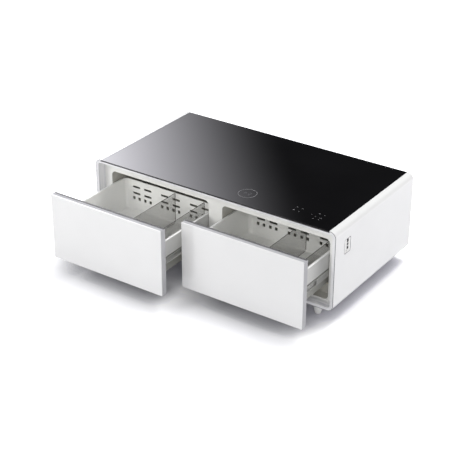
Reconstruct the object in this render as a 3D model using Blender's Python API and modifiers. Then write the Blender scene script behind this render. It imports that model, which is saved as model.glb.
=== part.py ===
"""A low coffee table whose body is a refrigerator with two drawers under a glass top.

Metres, +Z up. The drawers face -Y and the socket is on the +X side. The table stands
with both drawers drawn part of the way out, and the origin is on the floor under the
middle of it as it stands.
"""

import math

import bmesh
import bpy
from mathutils import Matrix, Vector

# Cabinet
WIDTH = 1.300
DEPTH = 0.700
HEIGHT = 0.450
FOOT_HEIGHT = 0.064
SHELL_WALL = 0.014
SHELL_RADIUS = 0.030

# Fits
GAP = 0.0003
OVERRUN = 0.002

# Glass top
GLASS_INSET = 0.034
GLASS_THICKNESS = 0.005
GLASS_RADIUS = 0.002

# Front trim: a lip over the shell's front edge and a sleeve that lines the recess
TRIM_LIP = 0.002
TRIM_WALL = 0.0017
TRIM_DEPTH = 0.050

# Fascia and its two openings
FASCIA_THICKNESS = 0.004
SIDE_STRIP = 0.038
TOP_STRIP = 0.052
BOTTOM_STRIP = 0.0035
MULLION = 0.073
OPENING_RADIUS = 0.022

# Compartments; the sill rises by a share of an opening's height
LINER_WALL = 0.0025
LINER_RADIUS = 0.012
SILL_DEPTH = 0.056
SILL_RISE_SHARE = 0.1491
FOAM_BEHIND = 0.0275
MACHINE_BAY = 0.184

# Back panel and its louvres
BACK_THICKNESS = 0.004
BACK_SETBACK = 0.002
LOUVRE_LENGTH = 0.180
LOUVRE_HEIGHT = 0.006
LOUVRE_PITCH = 0.018
LOUVRE_MARGIN = 0.035
LOUVRE_ROWS = 8

# Drawer fronts
PANEL_SIDE_GAP = 0.004
PANEL_MIDDLE_GAP = 0.022
PANEL_BOTTOM_GAP = 0.005
FINGER_GAP = 0.028
PANEL_THICKNESS = 0.032
PANEL_SKIN = 0.004
PANEL_RADIUS = 0.002
FRAME_WALL = 0.002
INNER_PANEL_THICKNESS = 0.010
INNER_PANEL_INSET = 0.008
GASKET_INSET = 0.015
GASKET_WIDTH = 0.010
GASKET_RADIUS = 0.006

# Drawer tubs and their rails. A tub's rim and floor stand off by shares of an opening's
# height, and a rail's height is a share of its tub's
RAIL_CLEARANCE = 0.004
RAIL_DEPTH = 0.0085
RAIL_HEIGHT_SHARE = 0.4845
RAIL_STEEL = 0.0012
TUB_RIM_SHARE = 0.2144
TUB_FLOOR_SHARE = 0.0972
TUB_BACK_CLEARANCE = 0.0060
TUB_WALL = 0.003
TUB_RADIUS = 0.020

# Air slots in a tub's back wall, whose columns stand at shares of its width and rows at
# shares of its height
VENT_COLUMN_SHARE = 0.1255
VENT_PAIR_SHARE = 0.3147
VENT_SLOT_WIDTH = 0.044
VENT_SLOT_HEIGHT = 0.0085
VENT_FIRST_SHARE = 0.2205
VENT_ROW_SHARE = 0.205
VENT_PORT_SHARE = 0.590
VENT_PORT_WIDTH = 0.014
VENT_PORT_HEIGHT = 0.016
VENT_PORT_PITCH = 0.032
VENT_PORT_RADIUS = 0.003

# Dividers, placed as shares of a tub's inner width from its left side
DIVIDER_THICKNESS = 0.0035
LEFT_DIVIDER_SHARES = (0.555, 0.872)
RIGHT_DIVIDER_SHARES = (0.580, 0.924)

# Telescopic slides, as high as a share of a tub's height
SLIDE_SETBACK = 0.006
SLIDE_BACK_GAP = 0.020
SLIDE_DROP = 0.005
SLIDE_HEIGHT_SHARE = 0.2174
SLIDE_DEPTH = 0.0110
SLIDE_STEEL = 0.0012
SLIDE_PLAY = 0.0006
TRAVEL_SHARE = 1.05
LEFT_OPEN_SHARE = 0.8045
RIGHT_OPEN_SHARE = 0.5225

# Feet
FOOT_FROM_SIDE = 0.100
FOOT_FROM_END = 0.050
FOOT_TOP_RADIUS = 0.0225
FOOT_SHOULDER = 0.006
FOOT_END_RADIUS = 0.0125
FOOT_ROUNDING = 0.004
STUD_RADIUS = 0.004
STUD_LENGTH = 0.010

# Under the glass
CHARGER_FROM_SIDE = 0.511
CHARGER_FROM_FRONT = 0.101
CHARGER_RADIUS = 0.044
CHARGER_THICKNESS = 0.004
TOUCH_FROM_SIDE = 0.191
TOUCH_FROM_FRONT = 0.090
TOUCH_LENGTH = 0.170
TOUCH_WIDTH = 0.080
TOUCH_THICKNESS = 0.003
TOUCH_RADIUS = 0.004

# Socket plate on the right side
SOCKET_FROM_FRONT = 0.1055
SOCKET_FROM_TOP = 0.103
SOCKET_WIDTH = 0.053
SOCKET_HEIGHT = 0.071
SOCKET_RADIUS = 0.009
SOCKET_THICKNESS = 0.002
MODULE_INSET = 0.004
MODULE_DEPTH = 0.032
MODULE_RADIUS = 0.005
PORT_DEPTH = 0.016
WIDE_PORT_WIDTH = 0.006
WIDE_PORT_HEIGHT = 0.014
WIDE_PORT_RISE = 0.024
SMALL_PORT_RADIUS = 0.0045
SMALL_PORT_RISE = 0.007
EARTH_SLOT_WIDTH = 0.006
EARTH_SLOT_HEIGHT = 0.011
EARTH_SLOT_DROP = 0.010
PIN_SLOT_WIDTH = 0.003
PIN_SLOT_HEIGHT = 0.009
PIN_SLOT_DROP = 0.023
PIN_SLOT_SPREAD = 0.007
PIN_SLOT_TURN = math.radians(30)

# Pipework
PIPE_RADIUS = 0.003
PIPE_BEND = 0.012
EVAPORATOR_MARGIN = 0.025
EVAPORATOR_THICKNESS = 0.004
EVAPORATOR_RADIUS = 0.010
LINK_SETBACK = 0.008
LINK_SHARE = 0.12
LINK_DROP = 0.020
LIQUID_SHARE = 0.60
LIQUID_RISE_SHARE = 0.65
SUCTION_SHARE = 0.25
SUCTION_RISE_SHARE = 0.35
SUCTION_ENTRY_SHARE = 0.30
DRIER_RADIUS = 0.009
DRIER_LENGTH = 0.080

# Condenser, whose coil is as high as the compressor and the rise of the pipe out of it
COIL_SHARE = 0.42
COIL_WIDTH_SHARE = 0.24
COIL_SETBACK = 0.025
COIL_RUNS = 9
DISCHARGE_RISE = 0.030

# Condenser fan
FAN_SIZE = 0.120
FAN_DEPTH = 0.025
FAN_RADIUS = 0.006
FAN_BORE_RADIUS = 0.056
FAN_COIL_GAP = 0.012
HUB_RADIUS = 0.019
HUB_DEPTH = 0.016
MOTOR_DEPTH = 0.005
STRUT_WIDTH = 0.005
SPINDLE_RADIUS = 0.002
SPINDLE_LENGTH = 0.010
BLADE_COUNT = 7
BLADE_TIP_GAP = 0.003
BLADE_CHORD = 0.016
BLADE_THICKNESS = 0.0018
BLADE_PITCH = math.radians(32)

# Compressor
COMPRESSOR_SHARE = 0.80
COMPRESSOR_RADIUS = 0.062
COMPRESSOR_HEIGHT = 0.150
COMPRESSOR_DOME = 0.030
GROMMET_RADIUS = 0.010
GROMMET_HEIGHT = 0.012
BASE_LENGTH = 0.170
BASE_WIDTH = 0.116
BASE_THICKNESS = 0.003
BASE_RADIUS = 0.012

# Control box and power inlet
CONTROL_SHARE = 0.12
CONTROL_LENGTH = 0.120
CONTROL_DEPTH = 0.050
CONTROL_HEIGHT = 0.160
CONTROL_RISE = 0.080
CONTROL_RADIUS = 0.004
INLET_RISE = 0.045
INLET_LENGTH = 0.034
INLET_HEIGHT = 0.026
INLET_DEPTH = 0.026
INLET_LIP = 0.002
INLET_LIP_WIDTH = 0.004
INLET_WALL = 0.003
INLET_RADIUS = 0.003
INLET_RECESS = 0.020
PRONG_LENGTH = 0.013
PRONG_WIDTH = 0.002
PRONG_HEIGHT = 0.004
PRONG_SPREAD = 0.007
PRONG_OFFSET = 0.003

# Smoothness: steps to a rounded corner and around a full circle
CORNER_STEPS = 5
SMALL_CORNER_STEPS = 3
ROUND_STEPS = 32
SMALL_ROUND_STEPS = 16
BEND_STEPS = 4
TUBE_RESOLUTION = 1
MERGE = 0.00005
SHARP_ANGLE = math.radians(35)

QUARTER = math.pi / 2
ALONG_X, ALONG_Y, ALONG_Z = range(3)


def grown(limits, amount):
    """The limits moved apart by the amount at both ends."""
    return (limits[0] - amount, limits[1] + amount)


def centred(middle, length):
    """The limits of a length about a middle."""
    return (middle - length / 2, middle + length / 2)


def between(limits, share):
    """The place that lies at this share of the way between the limits."""
    return limits[0] + share * (limits[1] - limits[0])


def inward(edge, hand, near, far):
    """Limits that lie near to far from a wall; hand is -1 for a left wall and +1 for a right one."""
    return tuple(sorted((edge - hand * near, edge - hand * far)))


# Depths along Y of the closed cabinet, from its front plane to its back
COMPARTMENT_DEPTH = (
    DEPTH
    - TRIM_DEPTH
    - FASCIA_THICKNESS
    - LINER_WALL
    - FOAM_BEHIND
    - MACHINE_BAY
    - BACK_THICKNESS
    - BACK_SETBACK
)
SLIDE_LENGTH = COMPARTMENT_DEPTH - SLIDE_SETBACK - SLIDE_BACK_GAP
TRAVEL = SLIDE_LENGTH * TRAVEL_SHARE
LEFT_OPEN = TRAVEL * LEFT_OPEN_SHARE
RIGHT_OPEN = TRAVEL * RIGHT_OPEN_SHARE
FRONT = -(DEPTH - max(LEFT_OPEN, RIGHT_OPEN)) / 2
BACK = FRONT + DEPTH
FASCIA_Y = (FRONT + TRIM_DEPTH, FRONT + TRIM_DEPTH + FASCIA_THICKNESS)
COMPARTMENT_Y = (FASCIA_Y[1], FASCIA_Y[1] + COMPARTMENT_DEPTH)
EVAPORATOR_Y = (
    COMPARTMENT_Y[1] + LINER_WALL + GAP,
    COMPARTMENT_Y[1] + LINER_WALL + GAP + EVAPORATOR_THICKNESS,
)
FOAM_BACK = COMPARTMENT_Y[1] + LINER_WALL + FOAM_BEHIND
BAY_Y = (FOAM_BACK, FOAM_BACK + MACHINE_BAY)

# Cross-sections of the cabinet
SHELL_X = (-WIDTH / 2, WIDTH / 2)
SHELL_Z = (FOOT_HEIGHT, HEIGHT)
CAVITY_X = grown(SHELL_X, -SHELL_WALL)
CAVITY_Z = grown(SHELL_Z, -SHELL_WALL)
CAVITY_RADIUS = SHELL_RADIUS - SHELL_WALL
RECESS_X = grown(CAVITY_X, -GAP - TRIM_WALL)
RECESS_Z = grown(CAVITY_Z, -GAP - TRIM_WALL)
RECESS_RADIUS = CAVITY_RADIUS - GAP - TRIM_WALL
GLASS_X = grown(SHELL_X, -GLASS_INSET)
GLASS_Z = (HEIGHT - GLASS_THICKNESS, HEIGHT)
BED_Z = GLASS_Z[0] - GAP
OPENING_Z = (RECESS_Z[0] + BOTTOM_STRIP, RECESS_Z[1] - TOP_STRIP)
OPENING_HEIGHT = OPENING_Z[1] - OPENING_Z[0]
FLOOR_Z = OPENING_Z[0] + SILL_RISE_SHARE * OPENING_HEIGHT
BAY_FLOOR = CAVITY_Z[0] + GAP

# Cross-sections of a drawer
PANEL_Z = (RECESS_Z[0] + PANEL_BOTTOM_GAP, RECESS_Z[1] - FINGER_GAP)
TUB_Z = (
    FLOOR_Z + TUB_FLOOR_SHARE * OPENING_HEIGHT,
    OPENING_Z[1] - TUB_RIM_SHARE * OPENING_HEIGHT,
)
TUB_HEIGHT = TUB_Z[1] - TUB_Z[0]
RAIL_Z = (TUB_Z[1] - RAIL_HEIGHT_SHARE * TUB_HEIGHT, TUB_Z[1])
SLIDE_HEIGHT = SLIDE_HEIGHT_SHARE * TUB_HEIGHT
SLIDE_Z = (RAIL_Z[0] - SLIDE_DROP - SLIDE_HEIGHT, RAIL_Z[0] - SLIDE_DROP)

# Depths of a drawer behind the front plane of its panel
CORE_Y = (PANEL_SKIN + GAP, PANEL_THICKNESS)
INNER_PANEL_Y = (PANEL_THICKNESS + GAP, PANEL_THICKNESS + GAP + INNER_PANEL_THICKNESS)
GASKET_Y = (INNER_PANEL_Y[1] + GAP, TRIM_DEPTH - GAP)
TUB_Y = (INNER_PANEL_Y[1] + GAP, COMPARTMENT_Y[1] - FRONT - TUB_BACK_CLEARANCE)
SLIDE_Y = (
    COMPARTMENT_Y[0] - FRONT + SLIDE_SETBACK,
    COMPARTMENT_Y[0] - FRONT + SLIDE_SETBACK + SLIDE_LENGTH,
)


def opening_x(side):
    """The limits of one opening; side is -1 for the left drawer and +1 for the right."""
    edges = (side * MULLION / 2, side * (RECESS_X[1] - SIDE_STRIP))
    return tuple(sorted(edges))


def panel_x(side):
    """The limits of one drawer front."""
    edges = (side * PANEL_MIDDLE_GAP / 2, side * (RECESS_X[1] - PANEL_SIDE_GAP))
    return tuple(sorted(edges))


def tub_x(side):
    """The outer limits of one tub, between its rails."""
    return grown(opening_x(side), -RAIL_CLEARANCE - RAIL_DEPTH - GAP)


# Scene, collections and parents

for left_over in list(bpy.data.objects):
    bpy.data.objects.remove(left_over, do_unlink=True)

table = bpy.data.collections.new("refrigerator_coffee_table")
cutters = bpy.data.collections.new("cutters")
bpy.context.scene.collection.children.link(table)
bpy.context.scene.collection.children.link(cutters)
cutters.hide_render = True


def make_parent(name, location):
    """An empty that carries the pieces of one moving body."""
    empty = bpy.data.objects.new(name, None)
    empty.location = location
    table.objects.link(empty)
    return empty


def make_material(name, colour, roughness, metallic=0.0, alpha=1.0):
    made = bpy.data.materials.new(name)
    made.use_nodes = True
    shader = made.node_tree.nodes["Principled BSDF"]
    shader.inputs["Base Color"].default_value = (*colour, 1.0)
    shader.inputs["Roughness"].default_value = roughness
    shader.inputs["Metallic"].default_value = metallic
    shader.inputs["Alpha"].default_value = alpha
    return made


def to_table(obj, parent, material):
    """Hands a finished shape to the table's collection, under its parent and with its material."""
    for holder in list(obj.users_collection):
        holder.objects.unlink(obj)
    table.objects.link(obj)
    obj.parent = parent
    obj.data.materials.clear()
    obj.data.materials.append(material)
    return obj


def to_cutters(obj, parent):
    """Keeps a shape as a helper of a Boolean, out of the render."""
    for holder in list(obj.users_collection):
        holder.objects.unlink(obj)
    cutters.objects.link(obj)
    obj.parent = parent
    obj.hide_render = True
    obj.display_type = "WIRE"
    return obj


def combine(obj, other, operation):
    """Cuts another shape out of an object, or joins it on."""
    step = obj.modifiers.new(f"{operation.lower()}_{other.name}", "BOOLEAN")
    step.operation = operation
    step.solver = "EXACT"
    step.object = to_cutters(other, obj.parent)
    return obj


def cut(obj, *others):
    for other in others:
        combine(obj, other, "DIFFERENCE")
    return obj


def join(obj, *others):
    for other in others:
        combine(obj, other, "UNION")
    return obj


def shade(obj):
    """Smooth shading that keeps the hard edges hard."""
    obj.data.shade_smooth()
    obj.data.set_sharp_from_angle(angle=SHARP_ANGLE)
    return obj


# Shapes

def add_block(bm, x, y, z, radius=0, along=ALONG_Y, steps=CORNER_STEPS):
    """Adds a box between its limits, with the four edges along one axis rounded."""
    corners = bmesh.ops.create_cube(bm, size=1)["verts"]
    size = Vector((x[1] - x[0], y[1] - y[0], z[1] - z[0]))
    middle = Vector((sum(x) / 2, sum(y) / 2, sum(z) / 2))
    bmesh.ops.scale(bm, vec=size, verts=corners)
    bmesh.ops.translate(bm, vec=middle, verts=corners)
    if radius:
        edges = {edge for corner in corners for edge in corner.link_edges}
        round_edges(bm, edges, along, radius, steps)


def round_edges(bm, edges, along, radius, steps):
    """Rounds those of the edges that run along one axis."""
    chosen = []
    for edge in edges:
        run = edge.verts[1].co - edge.verts[0].co
        if abs(run[along]) > run.length - MERGE:
            chosen.append(edge)
    bmesh.ops.bevel(bm, geom=chosen, offset=radius, segments=steps, profile=0.5, affect="EDGES")


def add_cylinder(bm, middle, radius, length, along, steps=ROUND_STEPS):
    """Adds a cylinder about its middle, along one axis."""
    turns = {
        ALONG_X: Matrix.Rotation(QUARTER, 4, "Y"),
        ALONG_Y: Matrix.Rotation(-QUARTER, 4, "X"),
        ALONG_Z: Matrix.Identity(4),
    }
    bmesh.ops.create_cone(
        bm,
        cap_ends=True,
        segments=steps,
        radius1=radius,
        radius2=radius,
        depth=length,
        matrix=Matrix.Translation(middle) @ turns[along],
    )


def object_from(name, bm):
    """An object from the shapes in bm, with its origin at their middle."""
    low = Vector(min(v.co[axis] for v in bm.verts) for axis in range(3))
    high = Vector(max(v.co[axis] for v in bm.verts) for axis in range(3))
    middle = (low + high) / 2
    bmesh.ops.translate(bm, vec=-middle, verts=bm.verts)
    mesh = bpy.data.meshes.new(name)
    bm.to_mesh(mesh)
    bm.free()
    obj = bpy.data.objects.new(name, mesh)
    obj.location = middle
    bpy.context.scene.collection.objects.link(obj)
    return obj


def block(name, x, y, z, radius=0, along=ALONG_Y, steps=CORNER_STEPS):
    bm = bmesh.new()
    add_block(bm, x, y, z, radius, along, steps)
    return object_from(name, bm)


def cylinder(name, middle, radius, length, along, steps=ROUND_STEPS):
    bm = bmesh.new()
    add_cylinder(bm, Vector(middle), radius, length, along, steps)
    return object_from(name, bm)


def channel(name, x, y, z, steel, open_to):
    """A C-section along Y, whose open side faces -X or +X."""
    hollow_x = (x[0] + steel, x[1] + OVERRUN) if open_to > 0 else (x[0] - OVERRUN, x[1] - steel)
    piece = block(name, x, y, z)
    hollow = block(name + "_hollow", hollow_x, grown(y, OVERRUN), grown(z, -steel))
    return piece, hollow


def mesh_from_curve(name, curve):
    """A closed mesh from a curve object, which it replaces."""
    graph = bpy.context.evaluated_depsgraph_get()
    mesh = bpy.data.meshes.new_from_object(curve.evaluated_get(graph))
    bm = bmesh.new()
    bm.from_mesh(mesh)
    bmesh.ops.remove_doubles(bm, verts=bm.verts, dist=MERGE)
    bmesh.ops.recalc_face_normals(bm, faces=bm.faces)
    bm.to_mesh(mesh)
    bm.free()
    mesh.name = name
    made = bpy.data.objects.new(name, mesh)
    made.matrix_world = curve.matrix_world
    bpy.context.scene.collection.objects.link(made)
    bpy.data.objects.remove(curve, do_unlink=True)
    return made


def poly_curve(name, points, closed, dimensions):
    """A curve object through the points, in straight runs."""
    data = bpy.data.curves.new(name, "CURVE")
    data.dimensions = dimensions
    spline = data.splines.new("POLY")
    spline.points.add(len(points) - 1)
    for place, point in zip(spline.points, points):
        place.co = (*point, 0.0, 1.0) if dimensions == "2D" else (*point, 1.0)
    spline.use_cyclic_u = closed
    curve = bpy.data.objects.new(name + "_curve", data)
    bpy.context.scene.collection.objects.link(curve)
    return curve


def side_outline(name, x, outline):
    """An outline in Y and Z, extruded across X, as a mesh with whole side faces."""
    curve = poly_curve(name, outline, True, "2D")
    curve.data.fill_mode = "BOTH"
    curve.data.extrude = (x[1] - x[0]) / 2
    made = mesh_from_curve(name, curve)
    bm = bmesh.new()
    bm.from_mesh(made.data)
    bmesh.ops.dissolve_limit(bm, angle_limit=SHARP_ANGLE, verts=bm.verts, edges=bm.edges)
    bm.to_mesh(made.data)
    bm.free()
    made.rotation_euler = (QUARTER, 0, QUARTER)
    made.location = (sum(x) / 2, 0, 0)
    return made


def bent_route(corners, bend):
    """The points of a route whose corners are rounded by arcs that start one bend before them."""
    corners = [Vector(corner) for corner in corners]
    route = [corners[0]]
    for before, corner, after in zip(corners, corners[1:], corners[2:]):
        start = corner + (before - corner).normalized() * bend
        end = corner + (after - corner).normalized() * bend
        centre = start + end - corner
        for step in range(BEND_STEPS + 1):
            angle = QUARTER * step / BEND_STEPS
            route.append(
                centre + (start - centre) * math.cos(angle) + (end - centre) * math.sin(angle)
            )
    route.append(corners[-1])
    return route


def tube(name, corners, bend=PIPE_BEND):
    """A closed round tube along a route with square turns."""
    curve = poly_curve(name, bent_route(corners, bend), False, "3D")
    curve.data.bevel_depth = PIPE_RADIUS
    curve.data.bevel_resolution = TUBE_RESOLUTION
    curve.data.use_fill_caps = True
    return mesh_from_curve(name, curve)


def turned(name, profile, location, steps=ROUND_STEPS):
    """A turned shape from the (radius, height) points down its outer side."""
    mesh = bpy.data.meshes.new(name)
    links = [(index, index + 1) for index in range(len(profile) - 1)]
    mesh.from_pydata([(radius, 0, height) for radius, height in profile], links, [])
    obj = bpy.data.objects.new(name, mesh)
    obj.location = location
    bpy.context.scene.collection.objects.link(obj)
    screw = obj.modifiers.new("turn", "SCREW")
    screw.axis = "Z"
    screw.steps = steps
    screw.render_steps = steps
    screw.use_merge_vertices = True
    screw.merge_threshold = MERGE
    screw.use_smooth_shade = True
    return obj


# Materials

WHITE_LACQUER = make_material("white_lacquer", (0.86, 0.86, 0.87), 0.20)
WHITE_PLASTIC = make_material("white_plastic", (0.80, 0.80, 0.78), 0.35)
LINER_PLASTIC = make_material("liner_plastic", (0.62, 0.60, 0.55), 0.40)
BLACK_GLASS = make_material("black_glass", (0.006, 0.006, 0.008), 0.04)
PANEL_GLASS = make_material("white_panel", (0.88, 0.88, 0.90), 0.12)
FRAME_METAL = make_material("frame_metal", (0.48, 0.48, 0.50), 0.35, 0.85)
TRIM_METAL = make_material("trim_metal", (0.72, 0.72, 0.76), 0.22, 0.40)
FOAM = make_material("foam", (0.80, 0.70, 0.45), 0.90)
SOFT_SEAL = make_material("soft_seal", (0.55, 0.55, 0.56), 0.70)
RAIL_PAINT = make_material("rail_paint", (0.84, 0.84, 0.84), 0.30)
ZINC = make_material("zinc_steel", (0.58, 0.59, 0.61), 0.32, 0.90)
SMOKED = make_material("smoked_acrylic", (0.16, 0.14, 0.13), 0.06, 0.0, 0.55)
BLACK_STEEL = make_material("black_steel", (0.02, 0.02, 0.02), 0.45)
COPPER = make_material("copper_pipe", (0.72, 0.36, 0.22), 0.30, 0.95)
ALUMINIUM = make_material("aluminium", (0.70, 0.71, 0.73), 0.35, 0.90)
BLACK_PLASTIC = make_material("black_plastic", (0.02, 0.02, 0.022), 0.45)
BOARD = make_material("circuit_board", (0.02, 0.16, 0.07), 0.50)
GREY_PLASTIC = make_material("grey_plastic", (0.42, 0.42, 0.43), 0.50)

cabinet = make_parent("cabinet", (0, 0, 0))


# Cabinet shell and what is let into it

def charger_place():
    return (SHELL_X[1] - CHARGER_FROM_SIDE, FRONT + CHARGER_FROM_FRONT)


def touch_limits():
    """The X and Y limits of the touch board."""
    x = centred(SHELL_X[1] - TOUCH_FROM_SIDE, TOUCH_LENGTH)
    y = centred(FRONT + TOUCH_FROM_FRONT, TOUCH_WIDTH)
    return x, y


def socket_limits(inset):
    """The Y and Z limits of the socket plate, drawn in by an inset."""
    y = centred(FRONT + SOCKET_FROM_FRONT, SOCKET_WIDTH)
    z = centred(HEIGHT - SOCKET_FROM_TOP, SOCKET_HEIGHT)
    return grown(y, -inset), grown(z, -inset)


def foot_places():
    """The names and X, Y places of the four feet."""
    across = {"left": SHELL_X[0] + FOOT_FROM_SIDE, "right": SHELL_X[1] - FOOT_FROM_SIDE}
    along = {"front": FRONT + FOOT_FROM_END, "rear": BACK - FOOT_FROM_END}
    for end, y in along.items():
        for side, x in across.items():
            yield f"{end}_{side}_foot", x, y


def glass_rebate(name):
    """The rebate that takes the glass, right through from front to back."""
    top = (BED_Z, HEIGHT + OVERRUN)
    return block(name, grown(GLASS_X, GAP), (FRONT - OVERRUN, BACK + OVERRUN), top)


def outer_shell():
    y = (FRONT + TRIM_LIP + GAP, BACK)
    shell = to_table(
        block("outer_shell", SHELL_X, y, SHELL_Z, SHELL_RADIUS), cabinet, WHITE_LACQUER
    )
    cut(
        shell,
        block("shell_cavity", CAVITY_X, grown(y, OVERRUN), CAVITY_Z, CAVITY_RADIUS),
        glass_rebate("shell_rebate"),
    )
    x, y = charger_place()
    depth = CHARGER_THICKNESS + GAP
    pocket = (x, y, BED_Z + (OVERRUN - depth) / 2)
    cut(shell, cylinder("charger_pocket", pocket, CHARGER_RADIUS + GAP, depth + OVERRUN, ALONG_Z))
    x, y = touch_limits()
    z = (BED_Z - TOUCH_THICKNESS - GAP, BED_Z + OVERRUN)
    pocket = block(
        "touch_pocket", grown(x, GAP), grown(y, GAP), z, TOUCH_RADIUS + GAP, ALONG_Z,
        SMALL_CORNER_STEPS,
    )
    cut(shell, pocket)
    y, z = socket_limits(-GAP)
    x = (SHELL_X[1] - SOCKET_THICKNESS - GAP, SHELL_X[1] + OVERRUN)
    cut(shell, block("plate_pocket", x, y, z, SOCKET_RADIUS + GAP, ALONG_X))
    y, z = socket_limits(MODULE_INSET - GAP)
    x = (CAVITY_X[1] - OVERRUN, SHELL_X[1] - SOCKET_THICKNESS)
    hole = block(
        "module_hole", x, y, z, MODULE_RADIUS + GAP, ALONG_X, SMALL_CORNER_STEPS
    )
    cut(shell, hole)
    studs = bmesh.new()
    for _, x, y in foot_places():
        middle = Vector((x, y, (SHELL_Z[0] + CAVITY_Z[0]) / 2))
        length = SHELL_WALL + 2 * OVERRUN
        add_cylinder(studs, middle, STUD_RADIUS + GAP, length, ALONG_Z, SMALL_ROUND_STEPS)
    cut(shell, object_from("stud_holes", studs))
    shade(shell)


def front_trim():
    lip = to_table(
        block("front_trim", SHELL_X, (FRONT, FRONT + TRIM_LIP), SHELL_Z, SHELL_RADIUS),
        cabinet,
        TRIM_METAL,
    )
    sleeve_y = (FRONT + TRIM_LIP / 2, FASCIA_Y[0] - GAP)
    recess_y = (FRONT - OVERRUN, FASCIA_Y[0] + OVERRUN)
    join(
        lip,
        block(
            "trim_sleeve", grown(CAVITY_X, -GAP), sleeve_y, grown(CAVITY_Z, -GAP),
            CAVITY_RADIUS - GAP,
        ),
    )
    cut(
        lip,
        block("trim_recess", RECESS_X, recess_y, RECESS_Z, RECESS_RADIUS),
        glass_rebate("trim_rebate"),
    )
    shade(lip)


def glass_top():
    to_table(
        block(
            "glass_top", GLASS_X, (FRONT, BACK), GLASS_Z, GLASS_RADIUS, ALONG_Z,
            SMALL_CORNER_STEPS,
        ),
        cabinet,
        BLACK_GLASS,
    )


def fascia():
    plate = to_table(
        block(
            "fascia", grown(CAVITY_X, -GAP), FASCIA_Y, grown(CAVITY_Z, -GAP), CAVITY_RADIUS - GAP
        ),
        cabinet,
        WHITE_PLASTIC,
    )
    openings = bmesh.new()
    for side in (-1, 1):
        add_block(openings, opening_x(side), grown(FASCIA_Y, OVERRUN), OPENING_Z, OPENING_RADIUS)
    cut(plate, object_from("fascia_openings", openings))
    shade(plate)


def back_panel():
    y = (BACK - BACK_SETBACK - BACK_THICKNESS, BACK - BACK_SETBACK)
    panel = to_table(
        block(
            "back_panel", grown(CAVITY_X, -GAP), y, grown(CAVITY_Z, -GAP), CAVITY_RADIUS - GAP
        ),
        cabinet,
        WHITE_PLASTIC,
    )
    louvres = bmesh.new()
    for share in (COIL_SHARE, COMPRESSOR_SHARE):
        for row in range(LOUVRE_ROWS):
            add_block(
                louvres,
                centred(between(CAVITY_X, share), LOUVRE_LENGTH),
                grown(y, OVERRUN),
                centred(CAVITY_Z[0] + LOUVRE_MARGIN + row * LOUVRE_PITCH, LOUVRE_HEIGHT),
                LOUVRE_HEIGHT / 2 - MERGE,
                ALONG_Y,
                SMALL_CORNER_STEPS,
            )
    inlet_x, inlet_z = inlet_limits(GAP)
    inlet_hole = block("inlet_hole", inlet_x, grown(y, OVERRUN), inlet_z, INLET_RADIUS + GAP)
    cut(panel, object_from("louvres", louvres), inlet_hole)
    shade(panel)


def foot(name, x, y):
    """A foot that tapers to a rounded end, on a stud let into the shell's floor."""
    rounding = [
        (
            FOOT_END_RADIUS - FOOT_ROUNDING * (1 - math.cos(angle)),
            FOOT_ROUNDING * (1 - math.sin(angle)),
        )
        for angle in (QUARTER * step / SMALL_CORNER_STEPS for step in range(SMALL_CORNER_STEPS + 1))
    ]
    profile = [
        (0, FOOT_HEIGHT + STUD_LENGTH),
        (STUD_RADIUS, FOOT_HEIGHT + STUD_LENGTH),
        (STUD_RADIUS, FOOT_HEIGHT - GAP),
        (FOOT_TOP_RADIUS, FOOT_HEIGHT - GAP),
        (FOOT_TOP_RADIUS, FOOT_HEIGHT - GAP - FOOT_SHOULDER),
        *rounding,
        (0, 0),
    ]
    to_table(turned(name, profile, (x, y, 0), SMALL_ROUND_STEPS), cabinet, WHITE_PLASTIC)


# Compartments

def compartment(name, side, grow, front):
    """The space of one compartment as a solid, grown on every side, from a front plane back.

    Its floor is low at the mouth and steps up behind the sill.
    """
    sill = COMPARTMENT_Y[0] + SILL_DEPTH + grow
    back = COMPARTMENT_Y[1] + grow
    outline = [
        (front, OPENING_Z[0] - grow),
        (sill, OPENING_Z[0] - grow),
        (sill, FLOOR_Z - grow),
        (back, FLOOR_Z - grow),
        (back, OPENING_Z[1] + grow),
        (front, OPENING_Z[1] + grow),
    ]
    solid = side_outline(name, grown(opening_x(side), grow), outline)
    bm = bmesh.new()
    bm.from_mesh(solid.data)
    round_edges(bm, bm.edges, ALONG_X, LINER_RADIUS + grow, CORNER_STEPS)
    bm.to_mesh(solid.data)
    bm.free()
    return solid


def liner(name, side):
    body = to_table(
        compartment(name, side, LINER_WALL, COMPARTMENT_Y[0] + GAP), cabinet, LINER_PLASTIC
    )
    cut(body, compartment(name + "_space", side, 0, COMPARTMENT_Y[0] - OVERRUN))
    shade(body)


def evaporator_x(side):
    return grown(opening_x(side), -EVAPORATOR_MARGIN)


EVAPORATOR_Z = (FLOOR_Z + EVAPORATOR_MARGIN, OPENING_Z[1] - EVAPORATOR_MARGIN)


def port(side, share, height):
    """The X and Z place of a pipe at an evaporator, its share counted from the mullion."""
    near, far = sorted(evaporator_x(side), key=abs)
    return near + share * (far - near), height


LINK_Z = EVAPORATOR_Z[1] - LINK_DROP
LIQUID_PORT = port(-1, LIQUID_SHARE, between(EVAPORATOR_Z, LIQUID_RISE_SHARE))
LEFT_LINK_PORT = port(-1, LINK_SHARE, LINK_Z)
RIGHT_LINK_PORT = port(1, LINK_SHARE, LINK_Z)
SUCTION_PORT = port(1, SUCTION_SHARE, between(EVAPORATOR_Z, SUCTION_RISE_SHARE))


def evaporator(name, side):
    to_table(
        block(name, evaporator_x(side), EVAPORATOR_Y, EVAPORATOR_Z, EVAPORATOR_RADIUS),
        cabinet,
        ALUMINIUM,
    )


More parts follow.
